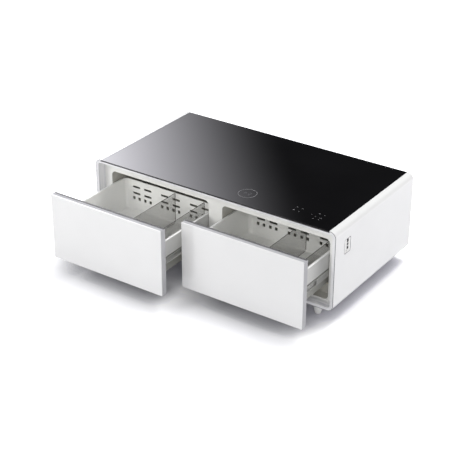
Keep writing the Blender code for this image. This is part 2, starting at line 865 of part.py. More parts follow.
def insulation():
    """Foam that fills the shell around the compartments."""
    y = (COMPARTMENT_Y[0] + GAP, FOAM_BACK)
    foam = to_table(
        block("insulation", grown(CAVITY_X, -GAP), y, grown(CAVITY_Z, -GAP), CAVITY_RADIUS - GAP),
        cabinet,
        FOAM,
    )
    for side in (-1, 1):
        around = LINER_WALL + GAP
        cut(foam, compartment(f"foam_space_{side}", side, around, y[0] - OVERRUN))
    pockets = bmesh.new()
    for side in (-1, 1):
        pocket_y = (COMPARTMENT_Y[1], EVAPORATOR_Y[1] + GAP)
        pocket_x = grown(evaporator_x(side), GAP)
        add_block(pockets, pocket_x, pocket_y, grown(EVAPORATOR_Z, GAP), EVAPORATOR_RADIUS + GAP)
    cut(foam, object_from("evaporator_pockets", pockets))
    holes = bmesh.new()
    for x, z in (LIQUID_PORT, LEFT_LINK_PORT, RIGHT_LINK_PORT, SUCTION_PORT):
        length = FOAM_BACK - EVAPORATOR_Y[1] + 2 * OVERRUN
        middle = Vector((x, (EVAPORATOR_Y[1] + FOAM_BACK) / 2, z))
        add_cylinder(holes, middle, PIPE_RADIUS + GAP, length, ALONG_Y, SMALL_ROUND_STEPS)
    cut(foam, object_from("pipe_holes", holes))
    module_y, module_z = socket_limits(MODULE_INSET - GAP)
    module_x = (SHELL_X[1] - MODULE_DEPTH - GAP, CAVITY_X[1] + OVERRUN)
    cut(foam, block("module_space", module_x, module_y, module_z))


# Under the glass and in the side wall

def charger_pad():
    x, y = charger_place()
    middle = (x, y, BED_Z - CHARGER_THICKNESS / 2)
    pad = cylinder("charger_pad", middle, CHARGER_RADIUS, CHARGER_THICKNESS, ALONG_Z)
    shade(to_table(pad, cabinet, BLACK_PLASTIC))


def touch_board():
    x, y = touch_limits()
    z = (BED_Z - TOUCH_THICKNESS, BED_Z)
    board = block("touch_board", x, y, z, TOUCH_RADIUS, ALONG_Z, SMALL_CORNER_STEPS)
    to_table(board, cabinet, BOARD)


def socket_ports(name, x):
    """The ports of the socket: two for charging leads above an outlet with three slots."""
    ports = bmesh.new()
    y_mid = FRONT + SOCKET_FROM_FRONT
    z_mid = HEIGHT - SOCKET_FROM_TOP
    middle_x = sum(x) / 2
    add_block(
        ports, x, centred(y_mid, WIDE_PORT_WIDTH), centred(z_mid + WIDE_PORT_RISE, WIDE_PORT_HEIGHT)
    )
    place = Vector((middle_x, y_mid, z_mid + SMALL_PORT_RISE))
    add_cylinder(ports, place, SMALL_PORT_RADIUS, x[1] - x[0], ALONG_X, SMALL_ROUND_STEPS)
    add_block(
        ports, x, centred(y_mid, EARTH_SLOT_WIDTH), centred(z_mid - EARTH_SLOT_DROP, EARTH_SLOT_HEIGHT)
    )
    for hand in (-1, 1):
        before = set(ports.verts)
        add_block(ports, x, centred(0, PIN_SLOT_WIDTH), centred(0, PIN_SLOT_HEIGHT))
        slot = [vert for vert in ports.verts if vert not in before]
        turn = Matrix.Rotation(-hand * PIN_SLOT_TURN, 3, "X")
        bmesh.ops.rotate(ports, cent=(0, 0, 0), matrix=turn, verts=slot)
        place = (0, y_mid + hand * PIN_SLOT_SPREAD, z_mid - PIN_SLOT_DROP)
        bmesh.ops.translate(ports, vec=place, verts=slot)
    return object_from(name, ports)


def socket_plate():
    y, z = socket_limits(0)
    x = (SHELL_X[1] - SOCKET_THICKNESS, SHELL_X[1])
    plate = to_table(
        block("socket_plate", x, y, z, SOCKET_RADIUS, ALONG_X), cabinet, WHITE_PLASTIC
    )
    cut(plate, socket_ports("plate_ports", grown(x, OVERRUN)))
    shade(plate)


def socket_module():
    y, z = socket_limits(MODULE_INSET)
    face = SHELL_X[1] - SOCKET_THICKNESS - GAP
    module = to_table(
        block(
            "socket_module", (SHELL_X[1] - MODULE_DEPTH, face), y, z, MODULE_RADIUS, ALONG_X,
            SMALL_CORNER_STEPS,
        ),
        cabinet,
        BLACK_PLASTIC,
    )
    cut(module, socket_ports("module_ports", (face - PORT_DEPTH, face + OVERRUN)))
    shade(module)


# Machine bay

COIL_X = centred(between(CAVITY_X, COIL_SHARE), COIL_WIDTH_SHARE * (CAVITY_X[1] - CAVITY_X[0]))
COIL_Y = BAY_Y[0] + COIL_SETBACK
COMPRESSOR_X = between(CAVITY_X, COMPRESSOR_SHARE)
COMPRESSOR_Y = sum(BAY_Y) / 2
POT_FLOOR = BAY_FLOOR + GROMMET_HEIGHT + BASE_THICKNESS
POT_TOP = POT_FLOOR + COMPRESSOR_HEIGHT
COIL_Z = (BAY_FLOOR + PIPE_RADIUS, POT_TOP + DISCHARGE_RISE)
COIL_PITCH = (COIL_Z[1] - COIL_Z[0]) / (COIL_RUNS - 1)


def condenser_coil():
    """A flat serpentine that starts at its lower left end and climbs to its upper right one."""
    corners = []
    for run in range(COIL_RUNS):
        z = COIL_Z[0] + run * COIL_PITCH
        ends = COIL_X if run % 2 == 0 else COIL_X[::-1]
        corners += [(end, COIL_Y, z) for end in ends]
    coil = tube("condenser_coil", corners, COIL_PITCH / 2 - MERGE)
    shade(to_table(coil, cabinet, COPPER))


def discharge_pipe():
    corners = [
        (COIL_X[1] + GAP, COIL_Y, COIL_Z[1]),
        (COMPRESSOR_X, COIL_Y, COIL_Z[1]),
        (COMPRESSOR_X, COMPRESSOR_Y, COIL_Z[1]),
        (COMPRESSOR_X, COMPRESSOR_Y, POT_TOP + GAP),
    ]
    shade(to_table(tube("discharge_pipe", corners), cabinet, COPPER))


def liquid_line():
    """From the condenser's lower end through the drier to the left evaporator."""
    x, z = LIQUID_PORT
    corners = [
        (COIL_X[0] - GAP, COIL_Y, COIL_Z[0]),
        (x, COIL_Y, COIL_Z[0]),
        (x, COIL_Y, z),
        (x, EVAPORATOR_Y[1] + GAP, z),
    ]
    line = to_table(tube("liquid_line", corners), cabinet, COPPER)
    middle = (x, COIL_Y, (COIL_Z[0] + z) / 2)
    join(line, cylinder("drier", middle, DRIER_RADIUS, DRIER_LENGTH, ALONG_Z, SMALL_ROUND_STEPS))
    shade(line)


def evaporator_link():
    y = BAY_Y[0] + LINK_SETBACK
    bend = LINK_SETBACK - GAP
    corners = [
        (LEFT_LINK_PORT[0], EVAPORATOR_Y[1] + GAP, LINK_Z),
        (LEFT_LINK_PORT[0], y, LINK_Z),
        (RIGHT_LINK_PORT[0], y, LINK_Z),
        (RIGHT_LINK_PORT[0], EVAPORATOR_Y[1] + GAP, LINK_Z),
    ]
    shade(to_table(tube("evaporator_link", corners, bend), cabinet, COPPER))


def suction_pipe():
    x, z = SUCTION_PORT
    side_z = POT_FLOOR + SUCTION_ENTRY_SHARE * COMPRESSOR_HEIGHT
    corners = [
        (x, EVAPORATOR_Y[1] + GAP, z),
        (x, COMPRESSOR_Y, z),
        (x, COMPRESSOR_Y, side_z),
        (COMPRESSOR_X - COMPRESSOR_RADIUS - GAP, COMPRESSOR_Y, side_z),
    ]
    shade(to_table(tube("suction_pipe", corners), cabinet, COPPER))


def compressor():
    """A domed pot on a base plate with four grommets."""
    dome = [
        (
            COMPRESSOR_RADIUS - COMPRESSOR_DOME * (1 - math.cos(angle)),
            COMPRESSOR_HEIGHT - COMPRESSOR_DOME * (1 - math.sin(angle)),
        )
        for angle in (QUARTER * (1 - step / CORNER_STEPS) for step in range(CORNER_STEPS + 1))
    ]
    profile = [(0, COMPRESSOR_HEIGHT), *dome, (COMPRESSOR_RADIUS, 0), (0, 0)]
    pot = turned("compressor", profile, (COMPRESSOR_X, COMPRESSOR_Y, POT_FLOOR))
    to_table(pot, cabinet, BLACK_STEEL)
    base_z = (BAY_FLOOR + GROMMET_HEIGHT, POT_FLOOR + OVERRUN)
    base_x = centred(COMPRESSOR_X, BASE_LENGTH)
    base_y = centred(COMPRESSOR_Y, BASE_WIDTH)
    base = block("compressor_base", base_x, base_y, base_z, BASE_RADIUS, ALONG_Z)
    grommets = bmesh.new()
    for x in grown(base_x, -BASE_RADIUS):
        for y in grown(base_y, -BASE_RADIUS):
            middle = Vector((x, y, BAY_FLOOR + (GROMMET_HEIGHT + OVERRUN) / 2))
            length = GROMMET_HEIGHT + OVERRUN
            add_cylinder(grommets, middle, GROMMET_RADIUS, length, ALONG_Z, SMALL_ROUND_STEPS)
    join(pot, base, object_from("compressor_grommets", grommets))


FAN_X = between(CAVITY_X, COIL_SHARE)
FAN_Y = (
    COIL_Y + FAN_COIL_GAP,
    COIL_Y + FAN_COIL_GAP + FAN_DEPTH,
)
FAN_Z = BAY_FLOOR + FAN_SIZE / 2


def condenser_fan_frame():
    """A square frame with a round duct, and a motor on four struts across its back."""
    frame = to_table(
        block(
            "condenser_fan_frame", centred(FAN_X, FAN_SIZE), FAN_Y, centred(FAN_Z, FAN_SIZE),
            FAN_RADIUS, ALONG_Y, SMALL_CORNER_STEPS,
        ),
        cabinet,
        BLACK_PLASTIC,
    )
    middle_y = sum(FAN_Y) / 2
    duct = cylinder(
        "fan_duct", (FAN_X, middle_y, FAN_Z), FAN_BORE_RADIUS, FAN_DEPTH + 2 * OVERRUN, ALONG_Y
    )
    cut(frame, duct)
    motor_y = (FAN_Y[1] - MOTOR_DEPTH, FAN_Y[1] - GAP)
    reach = 2 * FAN_BORE_RADIUS + OVERRUN
    strut_x = (centred(FAN_X, reach), centred(FAN_X, STRUT_WIDTH))
    strut_z = (centred(FAN_Z, STRUT_WIDTH), centred(FAN_Z, reach))
    struts = [
        block(f"fan_strut_{index}", x, motor_y, z)
        for index, (x, z) in enumerate(zip(strut_x, strut_z))
    ]
    motor = cylinder(
        "fan_motor", (FAN_X, sum(motor_y) / 2, FAN_Z), HUB_RADIUS, MOTOR_DEPTH - 2 * GAP, ALONG_Y,
        SMALL_ROUND_STEPS,
    )
    spindle_y = motor_y[0] - SPINDLE_LENGTH / 2 + OVERRUN / 2
    spindle = cylinder(
        "fan_spindle", (FAN_X, spindle_y, FAN_Z), SPINDLE_RADIUS, SPINDLE_LENGTH + OVERRUN,
        ALONG_Y, SMALL_ROUND_STEPS,
    )
    join(frame, *struts, motor, spindle)
    shade(frame)


def condenser_fan_impeller():
    """Seven pitched blades on a hub, which turns on the frame's spindle."""
    hub_back = FAN_Y[1] - MOTOR_DEPTH - GAP
    hub_y = (hub_back - HUB_DEPTH, hub_back)
    axle = make_parent("condenser_fan", (FAN_X, sum(hub_y) / 2, FAN_Z))
    hub = to_table(
        cylinder("condenser_fan_impeller", (0, 0, 0), HUB_RADIUS, HUB_DEPTH, ALONG_Y), axle,
        BLACK_PLASTIC,
    )
    blades = bmesh.new()
    inner = HUB_RADIUS - OVERRUN
    outer = FAN_BORE_RADIUS - BLADE_TIP_GAP
    for count in range(BLADE_COUNT):
        before = set(blades.verts)
        add_block(
            blades, centred(0, BLADE_THICKNESS), centred(0, BLADE_CHORD), (inner, outer)
        )
        blade = [vert for vert in blades.verts if vert not in before]
        pitch = Matrix.Rotation(BLADE_PITCH, 3, "Z")
        turn = Matrix.Rotation(2 * math.pi * count / BLADE_COUNT, 3, "Y")
        bmesh.ops.rotate(blades, cent=(0, 0, 0), matrix=turn @ pitch, verts=blade)
    ring = object_from("fan_blades", blades)
    join(hub, ring)
    bore_length = SPINDLE_LENGTH + GAP + OVERRUN
    bore_y = HUB_DEPTH / 2 + OVERRUN - bore_length / 2
    bore = cylinder(
        "hub_bore", (0, bore_y, 0), SPINDLE_RADIUS + GAP, bore_length, ALONG_Y, SMALL_ROUND_STEPS
    )
    cut(hub, bore)
    shade(hub)


def control_box():
    x = centred(between(CAVITY_X, CONTROL_SHARE), CONTROL_LENGTH)
    y = (BAY_Y[0] + GAP, BAY_Y[0] + GAP + CONTROL_DEPTH)
    z = (CAVITY_Z[0] + CONTROL_RISE, CAVITY_Z[0] + CONTROL_RISE + CONTROL_HEIGHT)
    to_table(
        block("control_box", x, y, z, CONTROL_RADIUS, ALONG_Y, SMALL_CORNER_STEPS),
        cabinet,
        GREY_PLASTIC,
    )


def inlet_limits(clearance):
    """The X and Z limits of the inlet's body."""
    x = centred(between(CAVITY_X, CONTROL_SHARE), INLET_LENGTH)
    z = centred(CAVITY_Z[0] + INLET_RISE, INLET_HEIGHT)
    return grown(x, clearance), grown(z, clearance)


def power_inlet():
    """A recessed inlet with three prongs, its lip on the outside of the back panel."""
    x, z = inlet_limits(0)
    face = BACK - BACK_SETBACK + GAP
    body = to_table(
        block(
            "power_inlet", grown(x, INLET_LIP_WIDTH), (face, face + INLET_LIP - GAP),
            grown(z, INLET_LIP_WIDTH), INLET_RADIUS, ALONG_Y, SMALL_CORNER_STEPS,
        ),
        cabinet,
        BLACK_PLASTIC,
    )
    barrel = block(
        "inlet_barrel", x, (face + INLET_LIP / 2 - INLET_DEPTH, face + INLET_LIP / 2), z,
        INLET_RADIUS, ALONG_Y, SMALL_CORNER_STEPS,
    )
    recess_floor = face + INLET_LIP - INLET_RECESS
    recess = block(
        "inlet_recess", grown(x, -INLET_WALL), (recess_floor, face + INLET_LIP + OVERRUN),
        grown(z, -INLET_WALL), INLET_RADIUS, ALONG_Y, SMALL_CORNER_STEPS,
    )
    prongs = bmesh.new()
    prong_y = (recess_floor - OVERRUN, recess_floor + PRONG_LENGTH)
    for hand, drop in ((-1, -1), (0, 1), (1, -1)):
        prong_x = centred(sum(x) / 2 + hand * PRONG_SPREAD, PRONG_WIDTH)
        prong_z = centred(sum(z) / 2 + drop * PRONG_OFFSET, PRONG_HEIGHT)
        add_block(prongs, prong_x, prong_y, prong_z)
    join(body, barrel)
    cut(body, recess)
    join(body, object_from("inlet_prongs", prongs))


# Drawers

def ring(name, x, y, z, wall, radius, steps=SMALL_CORNER_STEPS):
    """A rectangular frame and the block that opens it."""
    frame = block(name, x, y, z, radius, ALONG_Y, steps)
    space = block(
        name + "_space", grown(x, -wall), grown(y, OVERRUN), grown(z, -wall),
        max(radius - wall, 0), ALONG_Y, steps,
    )
    return frame, space


def drawer_front(name, side, carrier):
    """The panel, its edge frame, the foam and inner panel within it, and the gasket."""
    x = panel_x(side)
    skin_y = (0, PANEL_SKIN)
    skin = block(
        name + "_front_panel", x, skin_y, PANEL_Z, PANEL_RADIUS, ALONG_Y, SMALL_CORNER_STEPS
    )
    shade(to_table(skin, carrier, PANEL_GLASS))
    frame_y = (PANEL_SKIN + GAP, PANEL_THICKNESS)
    frame, space = ring(name + "_edge_frame", x, frame_y, PANEL_Z, FRAME_WALL, PANEL_RADIUS)
    cut(to_table(frame, carrier, FRAME_METAL), space)
    shade(frame)
    inside = FRAME_WALL + GAP
    core = block(name + "_foam_core", grown(x, -inside), CORE_Y, grown(PANEL_Z, -inside))
    to_table(core, carrier, FOAM)
    inner = block(
        name + "_inner_panel", grown(x, -INNER_PANEL_INSET), INNER_PANEL_Y,
        (PANEL_Z[0], PANEL_Z[1] - INNER_PANEL_INSET),
        GASKET_RADIUS, ALONG_Y, SMALL_CORNER_STEPS,
    )
    shade(to_table(inner, carrier, WHITE_PLASTIC))
    gasket_z = (OPENING_Z[0] + GAP, PANEL_Z[1] - GASKET_INSET)
    gasket, space = ring(
        name + "_gasket", grown(x, -GASKET_INSET), GASKET_Y, gasket_z, GASKET_WIDTH, GASKET_RADIUS
    )
    cut(to_table(gasket, carrier, SOFT_SEAL), space)
    shade(gasket)


def vents(name, side, y):
    """The air slots and small ports of a tub's back wall, in pairs of columns."""
    bm = bmesh.new()
    left, right = tub_x(side)
    middle, width = (left + right) / 2, right - left
    port_z = TUB_Z[1] - VENT_PORT_SHARE * TUB_HEIGHT
    for pair in (-1, 0, 1):
        for hand in (-1, 1):
            column = middle + (pair * VENT_PAIR_SHARE + hand * VENT_COLUMN_SHARE / 2) * width
            for row in (0, 1):
                z = TUB_Z[1] - (VENT_FIRST_SHARE + row * VENT_ROW_SHARE) * TUB_HEIGHT
                add_block(
                    bm, centred(column, VENT_SLOT_WIDTH), y, centred(z, VENT_SLOT_HEIGHT),
                    VENT_SLOT_HEIGHT / 2 - MERGE, ALONG_Y, SMALL_CORNER_STEPS,
                )
            for offset in (-VENT_PORT_PITCH / 2, VENT_PORT_PITCH / 2):
                add_block(
                    bm, centred(column + offset, VENT_PORT_WIDTH), y,
                    centred(port_z, VENT_PORT_HEIGHT), VENT_PORT_RADIUS,
                    ALONG_Y, SMALL_CORNER_STEPS - 1,
                )
    return object_from(name, bm)


def tub(name, side, carrier):
    x = tub_x(side)
    body = to_table(block(name, x, TUB_Y, TUB_Z, TUB_RADIUS, ALONG_Z), carrier, WHITE_PLASTIC)
    space_z = (TUB_Z[0] + TUB_WALL, TUB_Z[1] + OVERRUN)
    space = block(
        name + "_space", grown(x, -TUB_WALL), grown(TUB_Y, -TUB_WALL), space_z,
        TUB_RADIUS - TUB_WALL, ALONG_Z,
    )
    back_wall = (TUB_Y[1] - TUB_WALL - OVERRUN, TUB_Y[1] + OVERRUN)
    cut(body, space, vents(name + "_vents", side, back_wall))
    shade(body)


def divider(name, side, share, carrier):
    x = centred(between(grown(tub_x(side), -TUB_WALL), share), DIVIDER_THICKNESS)
    y = grown(TUB_Y, -TUB_WALL - GAP)
    z = (TUB_Z[0] + TUB_WALL + GAP, TUB_Z[1])
    to_table(block(name, x, y, z), carrier, SMOKED)


def slide_member(name, side, hand, near, far, height, open_to, carrier, shift):
    """One steel channel of a telescopic slide, near to far from the compartment's wall."""
    edge = opening_x(side)[0 if hand < 0 else 1]
    x = inward(edge, hand, near, far)
    y = (SLIDE_Y[0] + shift, SLIDE_Y[1] + shift)
    z = centred(sum(SLIDE_Z) / 2, height)
    piece, hollow = channel(name, x, y, z, SLIDE_STEEL, open_to)
    cut(to_table(piece, carrier, ZINC), hollow)


def slides(name, side, drawer, middle):
    """The fixed, middle and drawer members of both slides of one drawer."""
    step = SLIDE_STEEL + SLIDE_PLAY
    wall_to_tub = RAIL_CLEARANCE + RAIL_DEPTH
    for place, hand in (("left", -1), ("right", 1)):
        slide_member(
            f"{name}_{place}_fixed_slide", side, hand, GAP, SLIDE_DEPTH, SLIDE_HEIGHT, -hand,
            cabinet, FRONT,
        )
        slide_member(
            f"{name}_{place}_middle_slide", side, hand, GAP + step, SLIDE_DEPTH,
            SLIDE_HEIGHT - 2 * step, -hand, middle, 0,
        )
        slide_member(
            f"{name}_{place}_drawer_slide", side, hand, GAP + 2 * step, wall_to_tub,
            SLIDE_HEIGHT - 4 * step, hand, drawer, 0,
        )


def side_rails(name, side, carrier):
    """The white steel profiles along the upper edge of the tub's sides."""
    for place, hand in (("left", -1), ("right", 1)):
        edge = opening_x(side)[0 if hand < 0 else 1]
        x = inward(edge, hand, RAIL_CLEARANCE, RAIL_CLEARANCE + RAIL_DEPTH)
        rail, hollow = channel(f"{name}_{place}_rail", x, TUB_Y, RAIL_Z, RAIL_STEEL, -hand)
        cut(to_table(rail, carrier, RAIL_PAINT), hollow)


def make_drawer(name, side, opened, divider_shares):
    """One drawer, its pieces placed as if closed under an empty that stands drawn out."""
    carrier = make_parent(name, (0, FRONT - opened, 0))
    middle = make_parent(name + "_middle_slides", (0, FRONT - opened / 2, 0))
    drawer_front(name, side, carrier)
    tub(name + "_tub", side, carrier)
    side_rails(name, side, carrier)
    slides(name, side, carrier, middle)
    for place, share in zip(("inner", "outer"), divider_shares):
        divider(f"{name}_{place}_divider", side, share, carrier)


outer_shell()
front_trim()
glass_top()
fascia()
back_panel()
for foot_name, foot_x, foot_y in foot_places():
    foot(foot_name, foot_x, foot_y)
liner("left_liner", -1)
liner("right_liner", 1)
evaporator("left_evaporator", -1)
evaporator("right_evaporator", 1)
insulation()
charger_pad()
touch_board()
socket_plate()
socket_module()
condenser_coil()
discharge_pipe()
liquid_line()
evaporator_link()
suction_pipe()
compressor()
condenser_fan_frame()
condenser_fan_impeller()
control_box()
power_inlet()
make_drawer("left_drawer", -1, LEFT_OPEN, LEFT_DIVIDER_SHARES)
make_drawer("right_drawer", 1, RIGHT_OPEN, RIGHT_DIVIDER_SHARES)
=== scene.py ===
"""Looks of a refrigerator coffee table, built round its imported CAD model. Metres, +Z up."""

import math

import bmesh
import bpy
from mathutils import Matrix, Vector


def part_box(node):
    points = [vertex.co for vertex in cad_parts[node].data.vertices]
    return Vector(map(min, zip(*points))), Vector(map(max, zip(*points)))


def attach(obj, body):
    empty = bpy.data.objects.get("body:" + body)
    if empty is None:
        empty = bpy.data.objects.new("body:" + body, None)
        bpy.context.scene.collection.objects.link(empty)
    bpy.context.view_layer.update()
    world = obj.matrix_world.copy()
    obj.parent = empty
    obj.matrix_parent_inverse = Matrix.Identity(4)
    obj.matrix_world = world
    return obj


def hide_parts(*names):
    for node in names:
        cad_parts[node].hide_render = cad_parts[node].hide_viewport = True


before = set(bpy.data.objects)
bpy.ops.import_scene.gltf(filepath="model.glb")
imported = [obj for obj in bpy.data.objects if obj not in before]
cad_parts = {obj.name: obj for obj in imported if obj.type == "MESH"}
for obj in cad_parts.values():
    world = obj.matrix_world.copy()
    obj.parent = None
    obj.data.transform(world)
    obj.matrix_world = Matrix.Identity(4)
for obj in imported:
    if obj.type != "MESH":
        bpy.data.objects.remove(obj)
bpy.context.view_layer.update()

# Steps to a quarter circle, and to a whole one
WIDE_ARC = 16
ARC = 8
FINE_ARC = 4
FULL_TURN = 48

# Edges and shading of every piece, with angles in degrees
WELD = 0.00001
EDGE_STEPS = 2
EDGE_ANGLE = 50
SHARP_ANGLE = 42
REPEAT_SHARP_ANGLE = 40
NORMAL_WEIGHT = 80
PLATE_EDGE = 0.0012
FINE_EDGE = 0.0004
SHEET_EDGE = 0.0005

# Cabinet
GAP = 0.0003
SHELL_RADIUS = 0.030
SHELL_WALL = 0.014
TRIM_WALL = 0.0017
TRIM_STREAK = (0.62, 0.62, 0.67)
STREAK_SCALE = 70.0
STREAK_STRETCH = (0.3, 1.0, 0.02)
STREAK_MOST = 0.45
STREAK_SPAN = (0.47, 0.62)
LIP = 0.002
RIM = 0.0006
SEAM = 0.0022
SEAM_DEPTH = 0.0003
OPENING_RADIUS = 0.022
FASCIA_BELOW = 0.0052
FASCIA_ABOVE = 0.0537
LINER_RADIUS = 0.012
LINER_WALL = 0.0025
SILL_DEPTH = 0.056
SILL_RISE = 0.0445
OVERRUN = 0.002

# Feet, as radii with heights above the floor or drops below the shoulder
STUD_RADIUS = 0.004
STUD_RISE = 0.010
SHOULDER_CURVE = ((0.0008, 0.0), (0.0002, 0.0004), (0.0, 0.0010))
COLLAR_DEPTH = 0.0055
COLLAR_CHAMFER = (0.0004, 0.0020)
FOOT_TAPER = ((0.0212, 0.0400), (0.0193, 0.0280), (0.0168, 0.0170), (0.0146, 0.0100))
TOE_RADIUS = 0.0128
TOE_RISE = 0.0066
TOE_LAND = 0.0004
SOLE_RADIUS = 0.0040

# Marks printed on the glass
PRINT = 0.00012
RING_RADIUS = 0.0420
RING_LINE = 0.0011
STROKE = 0.0011
WAVE_RADII = (0.006, 0.011, 0.016)
WAVE_STARTS = (-35.0, 145.0)
WAVE_SWEEP = 70.0
SIGN_RADIUS = 0.0026
SIGN_STEM = 1.4
LAMP_SWEEP = (-60.0, 240.0)
LAMP_BASE_DROP = 1.5
POWER_SWEEP = (120.0, 420.0)
LOCK_SWEEP = (0.0, 180.0)
FAN_ARMS = 3
DOT_RADIUS = 0.0012

# Places of the signs and dots, from the cabinet's right side and its front
SIGNS = {
    "lamp": (0.261, 0.084),
    "lock": (0.260, 0.1145),
    "up": (0.232, 0.113),
    "down": (0.233, 0.082),
    "power": (0.148, 0.115),
    "fan": (0.121, 0.082),
    "plus": (0.150, 0.062),
    "minus": (0.150, 0.083),
}
DOTS = ((0.1244, 0.065), (0.126, 0.081), (0.122, 0.114), (0.174, 0.0926))

# Socket
PLATE_RADIUS = 0.009
BEZEL = 0.0026
BEZEL_EDGE = 0.0003
FACE_SETBACK = 0.0004
MODULE_INSET = 0.004
SQUARE_PORTS = ((0.024, 0.008, 0.013), (-0.010, 0.008, 0.010))
SQUARE_PORT_RINGS = ((0.006, 0.004, 0.003), (0.0, 0.0, 0.001))
ROUND_PORT_RISE = 0.007
ROUND_PORT_RADII = (0.0066, 0.0048)
PIN_SLOT = (0.003, 0.009)
PIN_SLOT_RADIUS = 0.0005
PIN_SLOT_APART = 0.007
PIN_SLOT_DROP = 0.023
PIN_SLOT_SLANT = 30

# Back: louvre columns as shares of its width, the rest as lengths
LOUVRE_COLUMNS = (0.42, 0.80)
LOUVRE_FIRST = 0.0347
LOUVRE_PITCH = 0.018
LOUVRE_ROWS = 8
LOUVRE_LENGTH = 0.180
LOUVRE_SLOT = 0.006
HOOD_STEPS = (24, 8)
HOOD_OVERLAP = 0.003
HOOD_DEPTH = 0.0018
HOOD_HEIGHT = 0.0035
INLET_MOUTH_INSET = 0.0037
INLET_MOUTH_RADIUS = 0.003
SCREW_PROFILE = (
    (0.0035, 0.0), (0.0035, 0.0006), (0.0028, 0.0013), (0.0010, 0.0016), (0.0009, 0.0009),
)
SCREWS = (6, 2)
SCREW_INSET = (0.020, 0.008)

# Drawers
PANEL_RADIUS = 0.002
FRAME_WALL = 0.002
# Painted light and shade on the frame's top, towards the door glass and along its back, and the
# share of its depth where they change
FRAME_TOP_PAINTED_LIGHT = (0.40, 0.40, 0.42)
FRAME_TOP_PAINTED_SHADE = (0.09, 0.09, 0.095)
FRAME_TOP_PAINT_CHANGE = (0.55, 0.65)
INNER_PANEL_SOFTNESS = 0.0025
DISH_INSET = 0.035
DISH_DEPTH = 0.0015
DISH_RADIUS = 0.010
DISH_SOFTNESS = 0.001
GASKET_WIDTH = 0.010
GASKET_RADIUS = 0.006
GASKET_LEAST_RADIUS = 0.001
GASKET_SIDE = (
    (0.0010, 0.0), (0.0, 0.14), (0.0, 0.28), (0.0016, 0.36), (0.0016, 0.44), (0.0004, 0.52),
    (0.0004, 0.78), (0.0018, 0.95), (0.0035, 1.0),
)
TUB_WALL = 0.003
TUB_RADIUS = 0.020
TUB_FLOOR_RADIUS = 0.009
RIBS = 17
RIB_WIDTH = 0.004
RIB_SHORTER = 0.060
RIB_Z = (-0.0005, 0.0010)
RIB_RADIUS = 0.0019
RIB_SOFTNESS = 0.0008
RIBS_NARROWER = 0.080
# The lit white painted on the rails' tops, above the painted shade of their sides
RAIL_LIT_TOP = (0.90, 0.90, 0.90)
RAIL_STEEL = 0.0012
RAIL_BEND = 0.0022
SLIDE_STEEL = 0.0012
SLIDE_BENDS = {"fixed_slide": 0.0030, "middle_slide": 0.0024, "drawer_slide": 0.0018}
SLIDE_HOLES = (0.06, 0.20, 0.50, 0.80, 0.94)
SLIDE_HOLE_RADIUS = 0.0028
STRIP_EDGE = 0.0002
DIVIDER_RADIUS = 0.005
DIVIDER_SOFTNESS = 0.0008
DIVIDER_FACING = (0.5, 0.8)
DIVIDER_EDGE = (0.05, 0.048, 0.045)
DIVIDER_CLEAR = 0.26
# The greyer colour painted on a tub's outer sides as shade
TUB_SIDE_PAINTED_SHADE = (0.34, 0.34, 0.31)

# Air slots of a tub's back wall, as shares of its width and height
VENT_COLUMN = 0.1255
VENT_PAIR = 0.3147
VENT_FIRST = 0.2205
VENT_ROW = 0.205
VENT_PORT = 0.590
SLOT_SIZE = (0.044, 0.0105)
PORT_SIZE = (0.014, 0.016)
PORT_PITCH = 0.032
PORT_RADIUS = 0.002

# Finishes. A Mix node's sockets have repeated names, so they go by kind and place here:
# first value, second value, result.
MIX_COLOURS = ("RGBA", 6, 7, 2)
MIX_NUMBERS = ("FLOAT", 2, 3, 0)
PLAIN = (1.0, 1.0, 1.0)
WHOLE = (0.0, 1.0)
NOISE_SPAN = (0.3, 0.7)
NOISE_DETAIL = 2.0
NOISE_ROUGHNESS = 0.55

# Studio: the camera's place is right of the middle, ahead of the trim, and above the floor
CAMERA_PLACE = (2.8973, 4.0393, 2.9298)
CAMERA_DOWN = 0.4876
CAMERA_TURN = 0.6077
CAMERA_LENS = 100.635
CAMERA_SENSOR = 36.0
CAMERA_REACH = 200.0
LAMPS = (
    ("front_light", (-1.7, -2.9, 1.8), (-0.2, -0.3, 0.25), (1.8, 1.5), 38.0),
    ("side_light", (1.9, 1.0, 1.9), (0.6, 0.1, 0.3), (1.0, 0.9), 8.5),
    ("fill_light", (2.7, -4.3, 2.9), (0.1, -0.2, 0.2), (2.5, 2.0), 66.0),
    ("top_light", (0.9, 1.3, 4.6), (0.0, 0.0, 0.2), (1.6, 1.6), 96.0),
)
AMBIENT = 0.50
AMBIENT_TINT = (0.96, 0.96, 1.0)
WARM = (1.0, 1.0, 0.96)
CARD_TINT = (0.95, 0.94, 1.0)
CARD_SLANT = 0.6
CARD_START = 0.7267
CARD_SLOPE = 21.3
CARD_PEAK = 3.2
CARD_BEHIND = (0.48, 0.62)
MIRRORED_AROUND = (0.45, 0.02, 0.35, 0.62)
MIRRORED_ABOVE = (0.0, 0.6, 0.55, 0.85)
FLOOR_SIZE = 30.0
FLOOR_ROUGHNESS = 0.9
FLOOR_SEEN = (1.45, 1.45, 1.48)
FLOOR_BOUNCE = (0.60, 0.60, 0.62)
FLOOR_LIFT = (0.0, 0.45, 0.9, 2.6)
# The contact shadow painted on the floor from ambient occlusion: its reach in front and at the side
# over a span of Y, wider at the left corner over a span of X, the occlusion span it fades over, and
# its painted shade in front and at the side
CONTACT_REACH = (0.21, 0.19)
CONTACT_TURN = (-0.35, -0.10)
CORNER_REACH = (0.60, 0.0)
CORNER_TURN = (-0.72, -0.42)
CONTACT_SAMPLES = 16
CONTACT_SPAN = (0.40, 0.80)
CONTACT_SHADE = (0.25, 0.25, 0.285)
SIDE_SHADE = (0.72, 0.715, 0.78)


# Limits

def limits(node):
    """The X, Y and Z limits of a CAD node at rest."""
    return tuple(zip(*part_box(node)))


def inset(span, amount):
    return (span[0] + amount, span[1] - amount)


def centred(middle, length):
    return (middle - length / 2, middle + length / 2)


def middle(span):
    return (span[0] + span[1]) / 2


# Outlines and skins

